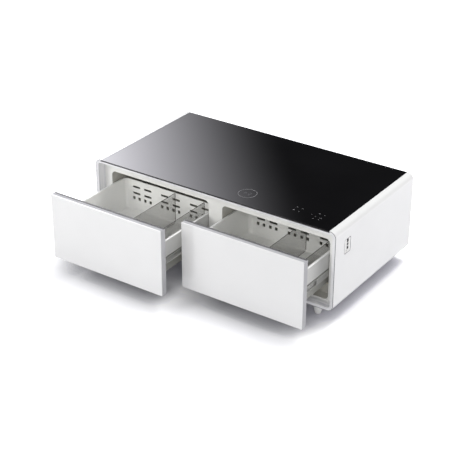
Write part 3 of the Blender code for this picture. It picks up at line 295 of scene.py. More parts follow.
def rounded(u, v, radius, steps=ARC):
    """A rounded rectangle, anticlockwise from its lower right corner."""
    radius = max(radius, GAP)
    corners = ((u[1], v[0], 1, -1), (u[1], v[1], 1, 1), (u[0], v[1], -1, 1), (u[0], v[0], -1, -1))
    points = []
    for quarter, (cu, cv, su, sv) in enumerate(corners):
        for step in range(steps + 1):
            angle = math.radians(90 * (quarter - 1 + step / steps))
            points.append((
                cu - su * radius + radius * math.cos(angle),
                cv - sv * radius + radius * math.sin(angle),
            ))
    return points


def circle(centre, radius, steps=FULL_TURN):
    turns = (2 * math.pi * step / steps for step in range(steps))
    return [(centre[0] + radius * math.cos(a), centre[1] + radius * math.sin(a)) for a in turns]


def stand(outline, at, along):
    """An outline laid across one axis, at a place on it."""
    if along == "X":
        return [Vector((at, u, v)) for u, v in outline]
    if along == "Y":
        return [Vector((u, at, v)) for u, v in outline]
    return [Vector((u, v, at)) for u, v in outline]


def skin(bm, loops, ring=False):
    """Skins loops of equal length. A ring closes on its first loop; else both ends get caps."""
    rows = [[bm.verts.new(point) for point in loop] for loop in loops]
    pairs = list(zip(rows, rows[1:]))
    if ring:
        pairs.append((rows[-1], rows[0]))
    for one, two in pairs:
        for here in range(len(one)):
            there = (here + 1) % len(one)
            bm.faces.new((one[here], one[there], two[there], two[here]))
    if not ring:
        bm.faces.new(rows[0][::-1])
        bm.faces.new(rows[-1])
    return bm


def soft_ends(span, edge, steps=FINE_ARC):
    """Pairs of inset and place that round both ends of a span."""
    start = [
        (edge * (1 - math.sin(a)), edge * (1 - math.cos(a)))
        for a in (math.pi / 2 * step / steps for step in range(steps + 1))
    ]
    return [(d, span[0] + w) for d, w in start] + [(d, span[1] - w) for d, w in start[::-1]]


def soft_block(bm, x, y, z, radius, edge, along="Y", steps=ARC):
    """A block with corners rounded about one axis and both its ends softened."""
    u, v, w = {"X": (y, z, x), "Y": (x, z, y), "Z": (x, y, z)}[along]
    loops = [
        stand(rounded(inset(u, d), inset(v, d), radius - d, steps), at, along)
        for d, at in soft_ends(w, edge)
    ]
    return skin(bm, loops)


def sharp_block(bm, x, y, z, radius=0.0, along="Y", steps=ARC):
    """A block with corners rounded about one axis, for cutting."""
    u, v, w = {"X": (y, z, x), "Y": (x, z, y), "Z": (x, y, z)}[along]
    if radius:
        outline = rounded(u, v, radius, steps)
    else:
        outline = [(u[0], v[0]), (u[1], v[0]), (u[1], v[1]), (u[0], v[1])]
    return skin(bm, [stand(outline, at, along) for at in w])


def turned(bm, profile, centre, steps=FULL_TURN):
    """A turned shape about an upright axis, from (radius, height) pairs."""
    return skin(bm, [stand(circle(centre, r, steps), h, "Z") for r, h in profile])


def bent_strip(x_web, hand, depth, z, steel, bend):
    """The outline of a C-section whose web stands at x_web and whose lips reach towards hand."""
    turns = [math.pi / 2 * step / FINE_ARC for step in range(FINE_ARC + 1)]
    inner = bend - steel
    outer_side = [(depth, z[0])]
    outer_side += [(bend - bend * math.sin(a), z[0] + bend - bend * math.cos(a)) for a in turns]
    outer_side += [(bend - bend * math.cos(a), z[1] - bend + bend * math.sin(a)) for a in turns]
    outer_side += [(depth, z[1]), (depth, z[1] - steel)]
    inner_side = [
        (bend - inner * math.cos(a), z[1] - bend + inner * math.sin(a)) for a in turns[::-1]
    ]
    inner_side += [
        (bend - inner * math.sin(a), z[0] + bend - inner * math.cos(a)) for a in turns[::-1]
    ]
    inner_side += [(depth, z[0] + steel)]
    return [(x_web + hand * a, h) for a, h in outer_side + inner_side]


# Objects

def new_object(name, bm):
    """An object at the origin from the shapes in bm, with its faces turned outwards."""
    bmesh.ops.remove_doubles(bm, verts=bm.verts, dist=WELD)
    bmesh.ops.recalc_face_normals(bm, faces=bm.faces)
    mesh = bpy.data.meshes.new(name)
    bm.to_mesh(mesh)
    bm.free()
    obj = bpy.data.objects.new(name, mesh)
    bpy.context.scene.collection.objects.link(obj)
    return obj


def settle(obj):
    """Makes what an object's modifiers show its own mesh."""
    graph = bpy.context.evaluated_depsgraph_get()
    shown = obj.evaluated_get(graph)
    made = bpy.data.meshes.new_from_object(shown, preserve_all_data_layers=True, depsgraph=graph)
    plain = obj.data
    obj.modifiers.clear()
    obj.data = made
    made.name = obj.name
    bpy.data.meshes.remove(plain)
    return obj


def drop(obj):
    mesh = obj.data
    bpy.data.objects.remove(obj)
    bpy.data.meshes.remove(mesh)


def piece(name, bm, coat, body, stands_for=(), cuts=(), edge=0.0, wall=0.0):
    """A finished piece: cut, edged, shaded, and riding on its body."""
    obj = new_object(name, bm)
    cutters = [new_object(f"{name}_cut_{index}", cut) for index, cut in enumerate(cuts)]
    if wall:
        sheet = obj.modifiers.new("wall", "SOLIDIFY")
        sheet.thickness = wall
        sheet.offset = 1.0
    for cutter in cutters:
        cut = obj.modifiers.new("cut", "BOOLEAN")
        cut.operation = "DIFFERENCE"
        cut.solver = "EXACT"
        cut.object = cutter
    if edge:
        bevel = obj.modifiers.new("edge", "BEVEL")
        bevel.width = edge
        bevel.segments = EDGE_STEPS
        bevel.limit_method = "ANGLE"
        bevel.angle_limit = math.radians(EDGE_ANGLE)
        bevel.miter_outer = "MITER_ARC"
    settle(obj)
    for cutter in cutters:
        drop(cutter)
    obj.data.materials.clear()
    obj.data.materials.append(coat)
    obj.data.shade_smooth()
    obj.data.set_sharp_from_angle(angle=math.radians(SHARP_ANGLE))
    normals = obj.modifiers.new("normals", "WEIGHTED_NORMAL")
    normals.keep_sharp = True
    normals.weight = NORMAL_WEIGHT
    settle(obj)
    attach(obj, body)
    if stands_for:
        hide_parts(*([stands_for] if isinstance(stands_for, str) else stands_for))
    return obj


# Repeats: one shape set out on a grid

def grid_tree():
    """Geometry nodes that set out one shape in columns and rows and give it a finish."""
    tree = bpy.data.node_groups.new("set_out_on_a_grid", "GeometryNodeTree")
    face = tree.interface
    wanted = (
        ("Shape", "NodeSocketObject", None),
        ("Columns", "NodeSocketInt", 1),
        ("Rows", "NodeSocketInt", 1),
        ("Width", "NodeSocketFloat", 0.0),
        ("Height", "NodeSocketFloat", 0.0),
        ("Turn", "NodeSocketRotation", (0.0, 0.0, 0.0)),
        ("Middle", "NodeSocketVector", (0.0, 0.0, 0.0)),
        ("Finish", "NodeSocketMaterial", None),
    )
    sockets = {}
    for name, kind, value in wanted:
        sockets[name] = face.new_socket(name=name, in_out="INPUT", socket_type=kind)
        if value is not None:
            sockets[name].default_value = value
    face.new_socket(name="Geometry", in_out="OUTPUT", socket_type="NodeSocketGeometry")
    given = tree.nodes.new("NodeGroupInput")
    result = tree.nodes.new("NodeGroupOutput")
    grid = tree.nodes.new("GeometryNodeMeshGrid")
    points = tree.nodes.new("GeometryNodeMeshToPoints")
    turn = tree.nodes.new("GeometryNodeTransform")
    shape = tree.nodes.new("GeometryNodeObjectInfo")
    copies = tree.nodes.new("GeometryNodeInstanceOnPoints")
    whole = tree.nodes.new("GeometryNodeRealizeInstances")
    paint = tree.nodes.new("GeometryNodeSetMaterial")
    for source, output, target, entry in (
        (given, "Columns", grid, "Vertices X"),
        (given, "Rows", grid, "Vertices Y"),
        (given, "Width", grid, "Size X"),
        (given, "Height", grid, "Size Y"),
        (grid, "Mesh", points, "Mesh"),
        (points, "Points", turn, "Geometry"),
        (given, "Turn", turn, "Rotation"),
        (given, "Middle", turn, "Translation"),
        (given, "Shape", shape, "Object"),
        (turn, "Geometry", copies, "Points"),
        (shape, "Geometry", copies, "Instance"),
        (copies, "Instances", whole, "Geometry"),
        (whole, "Geometry", paint, "Geometry"),
        (given, "Finish", paint, "Material"),
        (paint, "Geometry", result, "Geometry"),
    ):
        tree.links.new(source.outputs[output], target.inputs[entry])
    return tree, {name: socket.identifier for name, socket in sockets.items()}


GRID, GRID_KEYS = grid_tree()
TURNS = {"XY": (0.0, 0.0, 0.0), "XZ": (math.pi / 2, 0.0, 0.0)}


def repeated(name, shape, coat, body, plane, counts, spans, spot):
    """Shape, modelled about the origin, set out over a plane as a plain mesh on one body."""
    model = new_object(name + "_shape", shape)
    model.data.shade_smooth()
    model.data.set_sharp_from_angle(angle=math.radians(REPEAT_SHARP_ANGLE))
    obj = bpy.data.objects.new(name, bpy.data.meshes.new(name))
    bpy.context.scene.collection.objects.link(obj)
    nodes = obj.modifiers.new("set_out", "NODES")
    nodes.node_group = GRID
    values = {
        "Shape": model,
        "Columns": counts[0],
        "Rows": counts[1],
        "Width": spans[0],
        "Height": spans[1],
        "Turn": TURNS[plane],
        "Middle": spot,
        "Finish": coat,
    }
    for key, value in values.items():
        nodes[GRID_KEYS[key]] = value
    settle(obj)
    drop(model)
    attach(obj, body)
    return obj


# Finishes

def add(tree, kind, inputs=None, **settings):
    """A shader node with its settings and fixed or linked inputs."""
    made = tree.nodes.new(kind)
    for key, value in settings.items():
        setattr(made, key, value)
    for key, value in (inputs or {}).items():
        if isinstance(value, bpy.types.NodeSocket):
            tree.links.new(value, made.inputs[key])
        else:
            made.inputs[key].default_value = value
    return made


def reckon(tree, operation, *values):
    """A sum, product or other operation on numbers."""
    return add(tree, "ShaderNodeMath", dict(enumerate(values)), operation=operation).outputs[0]


def place(tree, stretch=PLAIN):
    """Object coordinates, stretched along the axes."""
    where = add(tree, "ShaderNodeTexCoord")
    scale = add(tree, "ShaderNodeMapping", {"Vector": where.outputs["Object"], "Scale": stretch})
    return scale.outputs["Vector"]


def noise(tree, scale, stretch=PLAIN):
    made = add(tree, "ShaderNodeTexNoise", {
        "Vector": place(tree, stretch),
        "Scale": scale,
        "Detail": NOISE_DETAIL,
        "Roughness": NOISE_ROUGHNESS,
    })
    return made.outputs["Fac"]


def spread(tree, value, low, high, start=NOISE_SPAN[0], end=NOISE_SPAN[1]):
    """A value brought from its usual range, a noise's if none is given, to a wanted one."""
    made = add(
        tree, "ShaderNodeMapRange",
        {"Value": value, "From Min": start, "From Max": end, "To Min": low, "To Max": high},
    )
    return made.outputs["Result"]


def blend(tree, share, one, two, sockets=MIX_COLOURS):
    """One colour or number changing to another by a share."""
    kind, first, second, result = sockets
    one, two = ((*end, 1.0) if isinstance(end, tuple) else end for end in (one, two))
    made = add(tree, "ShaderNodeMix", {0: share, first: one, second: two}, data_type=kind)
    return made.outputs[result]


def finish(name, colour, shade, rough, grain, stretch=PLAIN, cloud=7.0, **fixed):
    """A finish between two near colours in soft clouds, with its gloss and relief from a grain.

    Rough gives the limits of the roughness, and grain its scale, strength and height. Fixed
    holds values of the shader's own sockets, with the spaces in their names as underscores.
    """
    made = bpy.data.materials.new(name)
    made.use_nodes = True
    tree = made.node_tree
    shader = tree.nodes["Principled BSDF"]
    for key, value in fixed.items():
        shader.inputs[key.replace("_", " ")].default_value = value
    clouds = spread(tree, noise(tree, cloud), *WHOLE)
    tree.links.new(blend(tree, clouds, colour, shade), shader.inputs["Base Color"])
    scale, strength, height = grain
    fine = noise(tree, scale, stretch)
    tree.links.new(spread(tree, fine, *rough), shader.inputs["Roughness"])
    relief = add(
        tree, "ShaderNodeBump", {"Height": fine, "Strength": strength, "Distance": height}
    )
    tree.links.new(relief.outputs["Normal"], shader.inputs["Normal"])
    return made


def over(material, share, colour):
    """Lays another colour over a finish's own, by a share from a texture."""
    tree = material.node_tree
    base = tree.nodes["Principled BSDF"].inputs["Base Color"]
    under = base.links[0].from_socket
    tree.links.new(blend(tree, share, under, colour), base)
    return material


def speckle(material, scale, shares, span, colour, feature="F1"):
    """Lays another colour over a finish in cells, by shares that change over a span in each."""
    tree = material.node_tree
    cells = add(
        tree, "ShaderNodeTexVoronoi", {"Vector": place(tree), "Scale": scale}, feature=feature
    )
    over(material, spread(tree, cells.outputs["Distance"], *shares, *span), colour)


def facing(tree, axis, start=0.6, end=0.85):
    """How far a face of the object looks along an axis, either way."""
    way = add(tree, "ShaderNodeTexCoord").outputs["Normal"]
    part = add(tree, "ShaderNodeSeparateXYZ", {"Vector": way}).outputs[axis]
    return spread(tree, reckon(tree, "ABSOLUTE", part), *WHOLE, start, end)


LACQUER = finish(
    "white_gloss_lacquer", (0.84, 0.84, 0.845), (0.825, 0.825, 0.83), (0.16, 0.24),
    (420.0, 0.035, 0.0002), Coat_Weight=0.5, Coat_Roughness=0.06,
)
TRIM = finish(
    "pale_satin_trim", (0.95, 0.95, 0.965), (0.92, 0.92, 0.94), (0.20, 0.32),
    (240.0, 0.02, 0.0001), (0.02, 1.0, 0.02), cloud=18.0, Coat_Weight=0.25,
)
SEAM_GREY = finish(
    "grey_seam", (0.21, 0.21, 0.23), (0.16, 0.16, 0.18), (0.35, 0.5), (1200.0, 0.1, 0.0001)
)
GLASS = finish(
    "black_glass", (0.0040, 0.0040, 0.0045), (0.0055, 0.0055, 0.0062), (0.025, 0.045),
    (25.0, 0.0, 0.0002), cloud=3.0, IOR=1.5,
)
PRINT_INK = finish(
    "pale_print", (0.34, 0.34, 0.35), (0.29, 0.29, 0.30), (0.35, 0.5), (4000.0, 0.1, 0.0001)
)
FAINT_INK = finish(
    "faint_print", (0.11, 0.11, 0.12), (0.09, 0.09, 0.10), (0.35, 0.5), (4000.0, 0.1, 0.0001)
)
PLASTIC = finish(
    "white_moulded_plastic", (0.93, 0.93, 0.915), (0.91, 0.91, 0.89), (0.30, 0.42),
    (1500.0, 0.12, 0.0002),
)
LINER = finish(
    "liner_plastic", (0.60, 0.59, 0.545), (0.56, 0.55, 0.505), (0.30, 0.45),
    (900.0, 0.10, 0.0002),
)
DOOR = finish(
    "white_door_glass", (0.82, 0.82, 0.825), (0.805, 0.805, 0.81), (0.10, 0.16),
    (220.0, 0.012, 0.0002), Coat_Weight=0.6, Coat_Roughness=0.04,
)
FRAME = finish(
    "satin_aluminium", (0.55, 0.55, 0.57), (0.50, 0.50, 0.52), (0.34, 0.46),
    (500.0, 0.03, 0.0001), (0.05, 1.0, 0.05), Specular_IOR_Level=0.12,
)
FOAM = finish(
    "rigid_foam", (0.80, 0.69, 0.43), (0.72, 0.60, 0.36), (0.80, 0.95), (700.0, 0.6, 0.001)
)
SEAL = finish(
    "soft_grey_seal", (0.50, 0.50, 0.51), (0.44, 0.44, 0.45), (0.55, 0.75), (800.0, 0.2, 0.0003)
)
# A white powder coat, painted grey all over as the shade on the rails' sides; their tops are
# painted a lit white below
RAIL = finish(
    "white_powder_coat", (0.64, 0.64, 0.625), (0.60, 0.60, 0.585), (0.28, 0.42),
    (1800.0, 0.18, 0.0002),
)
# Zinc plating, with its tone darkened to a painted shade for the slides in the shadow under the
# rails
ZINC_WITH_PAINTED_SHADE = finish(
    "zinc_plated_steel", (0.44, 0.44, 0.42), (0.38, 0.38, 0.365), (0.34, 0.50),
    (300.0, 0.06, 0.0002), (1.0, 0.04, 1.0), cloud=40.0, Metallic=0.2,
)
SMOKED = finish(
    "smoked_acrylic", (0.16, 0.155, 0.145), (0.12, 0.115, 0.11), (0.03, 0.07),
    (200.0, 0.01, 0.0002), IOR=1.49,
)
ENAMEL = finish(
    "black_enamelled_steel", (0.018, 0.018, 0.019), (0.028, 0.028, 0.030), (0.28, 0.45),
    (350.0, 0.10, 0.0003),
)
COPPER = finish(
    "copper_tube", (0.72, 0.36, 0.22), (0.46, 0.22, 0.13), (0.24, 0.42), (300.0, 0.06, 0.0002),
    cloud=30.0, Metallic=0.95,
)
ALUMINIUM = finish(
    "rolled_aluminium", (0.70, 0.71, 0.73), (0.62, 0.63, 0.66), (0.28, 0.45),
    (250.0, 0.10, 0.0002), (0.06, 1.0, 1.0), Metallic=0.9,
)
BLACK_PLASTIC = finish(
    "black_moulded_plastic", (0.020, 0.020, 0.022), (0.028, 0.028, 0.030), (0.38, 0.55),
    (1400.0, 0.2, 0.0002),
)
BOARD = finish(
    "circuit_board", (0.015, 0.15, 0.06), (0.02, 0.11, 0.05), (0.30, 0.50), (900.0, 0.1, 0.0002)
)
GREY_PLASTIC = finish(
    "grey_moulded_plastic", (0.42, 0.42, 0.43), (0.37, 0.37, 0.38), (0.42, 0.58),
    (1300.0, 0.2, 0.0002),
)

speckle(FOAM, 420.0, (0.0, 0.6), (0.2, 0.8), (0.50, 0.40, 0.22))
speckle(ZINC_WITH_PAINTED_SHADE, 90.0, (0.0, 0.35), (0.1, 0.8), (0.50, 0.50, 0.49))
speckle(BOARD, 260.0, (0.8, 0.0), (0.02, 0.06), (0.60, 0.42, 0.12), "DISTANCE_TO_EDGE")


def paint_frame_top_light_and_shade():
    """Paints light on the frame's top towards the door glass and shade along its back."""
    tree = FRAME.node_tree
    top = facing(tree, "Z")
    depth = add(tree, "ShaderNodeAttribute", attribute_name="depth").outputs["Fac"]
    for low, high, colour in ((1.0, 0.0, FRAME_TOP_PAINTED_LIGHT), (0.0, 1.0, FRAME_TOP_PAINTED_SHADE)):
        change = spread(tree, depth, low, high, *FRAME_TOP_PAINT_CHANGE)
        over(FRAME, reckon(tree, "MULTIPLY", top, change), colour)


def shade_divider_edges():
    """A divider is clear through its sides and dark along its edges."""
    tree = SMOKED.node_tree
    sides = facing(tree, "X", *DIVIDER_FACING)
    over(SMOKED, spread(tree, sides, 1.0, 0.0, *WHOLE), DIVIDER_EDGE)
    clear = spread(tree, sides, 1.0, DIVIDER_CLEAR, *WHOLE)
    tree.links.new(clear, tree.nodes["Principled BSDF"].inputs["Alpha"])


def streak_trim():
    """The trim is drawn upright, with slightly darker streaks."""
    tree = TRIM.node_tree
    streaks = noise(tree, STREAK_SCALE, STREAK_STRETCH)
    over(TRIM, spread(tree, streaks, 0.0, STREAK_MOST, *STREAK_SPAN), TRIM_STREAK)


def paint_tub_side_shade():
    """A tub's outer sides are painted greyer as shade; its inside stays white."""
    outside = add(PLASTIC.node_tree, "ShaderNodeAttribute", attribute_name="outside")
    over(PLASTIC, outside.outputs["Fac"], TUB_SIDE_PAINTED_SHADE)


paint_frame_top_light_and_shade()
shade_divider_edges()
paint_tub_side_shade()
streak_trim()
# The rails' up-facing tops are painted a lit white over the grey painted shade of their sides
over(RAIL, facing(RAIL.node_tree, "Z"), RAIL_LIT_TOP)


def refinish(material, *nodes):
    """Gives CAD nodes whose shape is right a better finish."""
    for name in nodes:
        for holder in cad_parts[name].material_slots:
            holder.material = material


# Cabinet

SHELL_X, SHELL_Y, SHELL_Z = limits("outer_shell")
TRIM_Y = limits("front_trim")[1]
GLASS_X, GLASS_Y, GLASS_Z = limits("glass_top")
FASCIA_X, FASCIA_Y, FASCIA_Z = limits("fascia")
REBATE_X = inset(GLASS_X, -GAP)
BED = GLASS_Z[0] - GAP


def rebated(amount=0.0):
    """The cabinet's outline less an amount, with the rebate for the glass let into its top."""
    x, z = inset(SHELL_X, amount), inset(SHELL_Z, amount)
    points = rounded(x, z, SHELL_RADIUS - amount, WIDE_ARC)
    top = 2 * (WIDE_ARC + 1)
    left, right = inset(REBATE_X, -amount)
    bed = BED - amount
    rebate = [(right, z[1]), (right, bed), (left, bed), (left, z[1])]
    return points[:top] + rebate + points[top:]


def unrebated(x, z, radius):
    """The outline of the cabinet's inside, with as many points as the outside has."""
    points = rounded(x, z, radius, WIDE_ARC)
    top = 2 * (WIDE_ARC + 1)
    spans = (REBATE_X, inset(REBATE_X, LIP))
    level = [(spans[0][1], z[1]), (spans[1][1], z[1]), (spans[1][0], z[1]), (spans[0][0], z[1])]
    return points[:top] + level + points[top:]


def make_shell():
    """The cabinet's skin, with the socket plate's pocket and the hole for its module."""
    cavity = (inset(SHELL_X, SHELL_WALL), inset(SHELL_Z, SHELL_WALL))
    outside = rebated()
    inside = unrebated(*cavity, SHELL_RADIUS - SHELL_WALL)
    bm = bmesh.new()
    skin(bm, [
        stand(outside, SHELL_Y[0], "Y"),
        stand(outside, SHELL_Y[1], "Y"),
        stand(inside, SHELL_Y[1], "Y"),
        stand(inside, SHELL_Y[0], "Y"),
    ], ring=True)
    plate_x, plate_y, plate_z = limits("socket_plate")
    pocket = sharp_block(
        bmesh.new(), (plate_x[0] - GAP, SHELL_X[1] + OVERRUN), inset(plate_y, -GAP),
        inset(plate_z, -GAP), PLATE_RADIUS + GAP, "X",
    )
    hole = sharp_block(
        bmesh.new(), (cavity[0][1] - OVERRUN, SHELL_X[1]),
        inset(plate_y, MODULE_INSET - GAP), inset(plate_z, MODULE_INSET - GAP), 0.0, "X",
    )
    piece(
        "shell_body", bm, LACQUER, "cabinet", "outer_shell", (pocket, hole), RIM
    )


def make_trim():
    """The lip on the shell's front edge with the sleeve behind it, and the seam round the lip."""
    cavity = (inset(SHELL_X, SHELL_WALL + GAP), inset(SHELL_Z, SHELL_WALL + GAP))
    recess = tuple(inset(span, TRIM_WALL) for span in cavity)
    radius = SHELL_RADIUS - SHELL_WALL - GAP
    sleeve = unrebated(*cavity, radius)
    inside = unrebated(*recess, radius - TRIM_WALL)
    bm = bmesh.new()
    skin(bm, [
        stand(rebated(SEAM), TRIM_Y[0] + LIP, "Y"),
        stand(rebated(SEAM), TRIM_Y[0], "Y"),
        stand(inside, TRIM_Y[0], "Y"),
        stand(inside, TRIM_Y[1], "Y"),
        stand(sleeve, TRIM_Y[1], "Y"),
        stand(sleeve, TRIM_Y[0] + LIP, "Y"),
    ], ring=True)
    piece("front_lip", bm, TRIM, "cabinet", "front_trim", (), RIM)
    seam = skin(bmesh.new(), [
        stand(rebated(), TRIM_Y[0] + LIP, "Y"),
        stand(rebated(), TRIM_Y[0] + SEAM_DEPTH, "Y"),
        stand(rebated(SEAM), TRIM_Y[0] + SEAM_DEPTH, "Y"),
        stand(rebated(SEAM), TRIM_Y[0] + LIP, "Y"),
    ], ring=True)
    piece("lip_seam", seam, SEAM_GREY, "cabinet", edge=FINE_EDGE)


def make_glass():
    bm = bmesh.new()
    soft_block(
        bm, GLASS_X, GLASS_Y, (GLASS_Z[0], GLASS_Z[1] - PRINT / 2), PANEL_RADIUS, RIM, "Z"
    )
    piece("glass_plate", bm, GLASS, "cabinet", "glass_top")


def opening_spans():
    """The X limits of the two openings and their Z limits."""
    z = (FASCIA_Z[0] + FASCIA_BELOW, FASCIA_Z[1] - FASCIA_ABOVE)
    left, right = limits("left_liner")[0], limits("right_liner")[0]
    return (inset(left, LINER_WALL), inset(right, LINER_WALL)), z


def make_fascia():
    spans, z = opening_spans()
    bm = bmesh.new()
    sharp_block(bm, FASCIA_X, FASCIA_Y, FASCIA_Z, SHELL_RADIUS - SHELL_WALL - GAP)
    openings = bmesh.new()
    for x in spans:
        sharp_block(openings, x, inset(FASCIA_Y, -OVERRUN), z, OPENING_RADIUS, "Y", WIDE_ARC)
    piece(
        "fascia_plate", bm, PLASTIC, "cabinet", "fascia", (openings,), PLATE_EDGE
    )


def make_liner(side):
    """A moulded liner whose floor steps up behind a sill."""
    node = f"{side}_liner"
    x, y, z = limits(node)
    x, z = inset(x, LINER_WALL), inset(z, LINER_WALL)
    front, back = y[0], y[1] - LINER_WALL
    sill = front - GAP + SILL_DEPTH
    step = z[0] + SILL_RISE
    ahead = front - 3 * LINER_RADIUS
    outline = [
        (ahead, z[0]), (sill, z[0]), (sill, step), (back, step), (back, z[1]), (ahead, z[1]),
    ]
    bm = skin(bmesh.new(), [stand(outline, at, "X") for at in x])
    bmesh.ops.bevel(
        bm, geom=bm.edges[:], offset=LINER_RADIUS, segments=ARC, profile=0.5, affect="EDGES"
    )
    bmesh.ops.bisect_plane(
        bm, geom=bm.verts[:] + bm.edges[:] + bm.faces[:], plane_co=(0, front, 0),
        plane_no=(0, -1, 0), clear_outer=True,
    )
    piece(f"{side}_liner_shell", bm, LINER, "cabinet", node, wall=LINER_WALL)


def make_foot(node):
    """A turned foot: a stud in the cabinet, a collar, a taper and a rounded toe."""
    x, y, _ = limits(node)
    top = (x[1] - x[0]) / 2
    shoulder = SHELL_Z[0] - GAP
    collar = shoulder - COLLAR_DEPTH
    profile = [(STUD_RADIUS, shoulder + STUD_RISE), (STUD_RADIUS, shoulder)]
    profile += [(top - d, shoulder - w) for d, w in SHOULDER_CURVE]
    profile += [(top, collar), (top - COLLAR_CHAMFER[0], collar - COLLAR_CHAMFER[1])]
    profile += FOOT_TAPER
    profile += [
        (TOE_RADIUS * math.cos(a) + TOE_LAND, TOE_RISE * (1 - math.sin(a)))
        for a in (math.pi / 2 * step / ARC for step in range(1, ARC - 1))
    ]
    profile += [(SOLE_RADIUS, 0.0)]
    bm = turned(bmesh.new(), profile, (middle(x), middle(y)))
    piece(f"{node}_turned", bm, PLASTIC, "cabinet", node)


# Marks on the glass

def ink_ring(bm, centre, radius, line, start=0.0, end=360.0, steps=FULL_TURN):
    """A flat ring or arc of ink."""
    top = GLASS_Z[1]
    span = (top - PRINT, top)
    whole = end - start >= 360.0
    count = steps if whole else steps + 1
    turns = [math.radians(start + (end - start) * step / steps) for step in range(count)]
    loops = [
        [
            Vector((centre[0] + r * math.cos(a), centre[1] + r * math.sin(a), h))
            for r, h in (
                (radius - line / 2, span[0]), (radius + line / 2, span[0]),
                (radius + line / 2, span[1]), (radius - line / 2, span[1]),
            )
        ]
        for a in turns
    ]
    skin(bm, loops, ring=whole)


def ink_line(bm, start, end, line=STROKE):
    """A straight stroke of ink between two places."""
    start, end = Vector(start), Vector(end)
    run = (end - start).normalized()
    side = Vector((-run.y, run.x)) * line / 2
    corners = [start - side, end - side, end + side, start + side]
    skin(bm, [stand([tuple(c) for c in corners], h, "Z") for h in (GLASS_Z[1] - PRINT, GLASS_Z[1])])


def make_charging_spot():
    """A ring with faint waves in it, over the charger."""
    charger_x, charger_y, _ = limits("charger_pad")
    spot = (middle(charger_x), middle(charger_y))
    ring = bmesh.new()
    ink_ring(ring, spot, RING_RADIUS, RING_LINE, steps=2 * FULL_TURN)
    piece("charging_ring", ring, PRINT_INK, "cabinet")
    waves = bmesh.new()
    for radius in WAVE_RADII:
        for start in WAVE_STARTS:
            ink_ring(waves, spot, radius, STROKE, start, start + WAVE_SWEEP, ARC)
    piece("charging_waves", waves, FAINT_INK, "cabinet")


def on_glass(from_right, from_front):
    return Vector((SHELL_X[1] - from_right, GLASS_Y[0] + from_front))


def make_key_marks():
    """Plain line signs for the touch keys, with small dots between them."""
    keys = bmesh.new()
    r = SIGN_RADIUS
    wide, high = Vector((r, 0)), Vector((0, r))
    lamp, lock, up, down, power, fan, plus, minus = (on_glass(*spot) for spot in SIGNS.values())
    ink_ring(keys, lamp, r, STROKE, *LAMP_SWEEP, 2 * ARC)
    base = lamp - LAMP_BASE_DROP * high
    ink_line(keys, base - wide / 2, base + wide / 2)
    ink_ring(keys, lock + high / 2, r / 2, STROKE / 2, *LOCK_SWEEP, ARC)
    ink_line(keys, lock - wide, lock + wide, 2 * STROKE)
    for spot, sign in ((up, 1), (down, -1)):
        tip = spot + sign * high / 2
        for leg in (-wide, wide):
            ink_line(keys, spot + leg - sign * high / 2, tip)
    ink_ring(keys, power, r, STROKE, *POWER_SWEEP, 2 * ARC)
    ink_line(keys, power, power + SIGN_STEM * high)
    for turn in range(FAN_ARMS):
        a = math.pi * turn / FAN_ARMS
        arm = Vector((math.cos(a), math.sin(a))) * r
        ink_line(keys, fan - arm, fan + arm)
    for spot in (plus, minus):
        ink_line(keys, spot - wide, spot + wide)
    ink_line(keys, plus - high, plus + high)
    for spot in DOTS:
        ink_ring(keys, on_glass(*spot), DOT_RADIUS, DOT_RADIUS, steps=ARC)
    piece("touch_key_marks", keys, PRINT_INK, "cabinet")


# Socket on the right side

def port(cuts, inserts, outline, inner, through, depth):
    """An opening through the socket's face and the black insert that lines it."""
    skin(cuts, [stand(outline, at, "X") for at in through])
    skin(inserts, [
        stand(outline, depth[0], "X"), stand(outline, depth[1], "X"), stand(inner, depth[1], "X"),
        stand(inner, depth[0], "X"),
    ], ring=True)


def make_socket():
    """The socket's grey bezel, its white face with an outlet and ports, and their inserts."""
    x, y, z = limits("socket_plate")
    outer = rounded(y, z, PLATE_RADIUS)
    inner = rounded(inset(y, BEZEL), inset(z, BEZEL), PLATE_RADIUS - BEZEL)
    bm = bmesh.new()
    skin(bm, [
        stand(outer, x[0], "X"), stand(outer, x[1], "X"), stand(inner, x[1], "X"),
        stand(inner, x[0], "X"),
    ], ring=True)
    piece("socket_bezel", bm, SEAM_GREY, "cabinet", edge=BEZEL_EDGE)
    mid_y, mid_z = middle(y), middle(z)
    through = (x[0] - OVERRUN, x[1] + OVERRUN)
    ports = bmesh.new()
    inserts = bmesh.new()
    depth = (x[0], x[1] - FACE_SETBACK / 2)
    for rise, width, height in SQUARE_PORTS:
        outline, inner = (
            rounded(centred(mid_y, width + wider), centred(mid_z + rise, height + taller), radius)
            for wider, taller, radius in SQUARE_PORT_RINGS
        )
        port(ports, inserts, outline, inner, through, depth)
    outline, inner = (
        circle((mid_y, mid_z + ROUND_PORT_RISE), radius) for radius in ROUND_PORT_RADII
    )
    port(ports, inserts, outline, inner, through, depth)
    piece("socket_inserts", inserts, BLACK_PLASTIC, "cabinet")
    for hand in (-1, 1):
        slot = bmesh.new()
        sharp_block(
            slot, through, centred(0, PIN_SLOT[0]), centred(0, PIN_SLOT[1]), PIN_SLOT_RADIUS, "X"
        )
        slot.transform(
            Matrix.Translation((0, mid_y + hand * PIN_SLOT_APART, mid_z - PIN_SLOT_DROP))
            @ Matrix.Rotation(math.radians(-PIN_SLOT_SLANT * hand), 4, "X")
        )
        spare = bpy.data.meshes.new("slot")
        slot.to_mesh(spare)
        ports.from_mesh(spare)
        bpy.data.meshes.remove(spare)
        slot.free()
    face = soft_block(
        bmesh.new(), (x[0], x[1] - FACE_SETBACK), inset(y, BEZEL + GAP), inset(z, BEZEL + GAP),
        PLATE_RADIUS - BEZEL, FACE_SETBACK, "X",
    )
    piece("socket_face", face, PLASTIC, "cabinet", "socket_plate", (ports,))


# Back

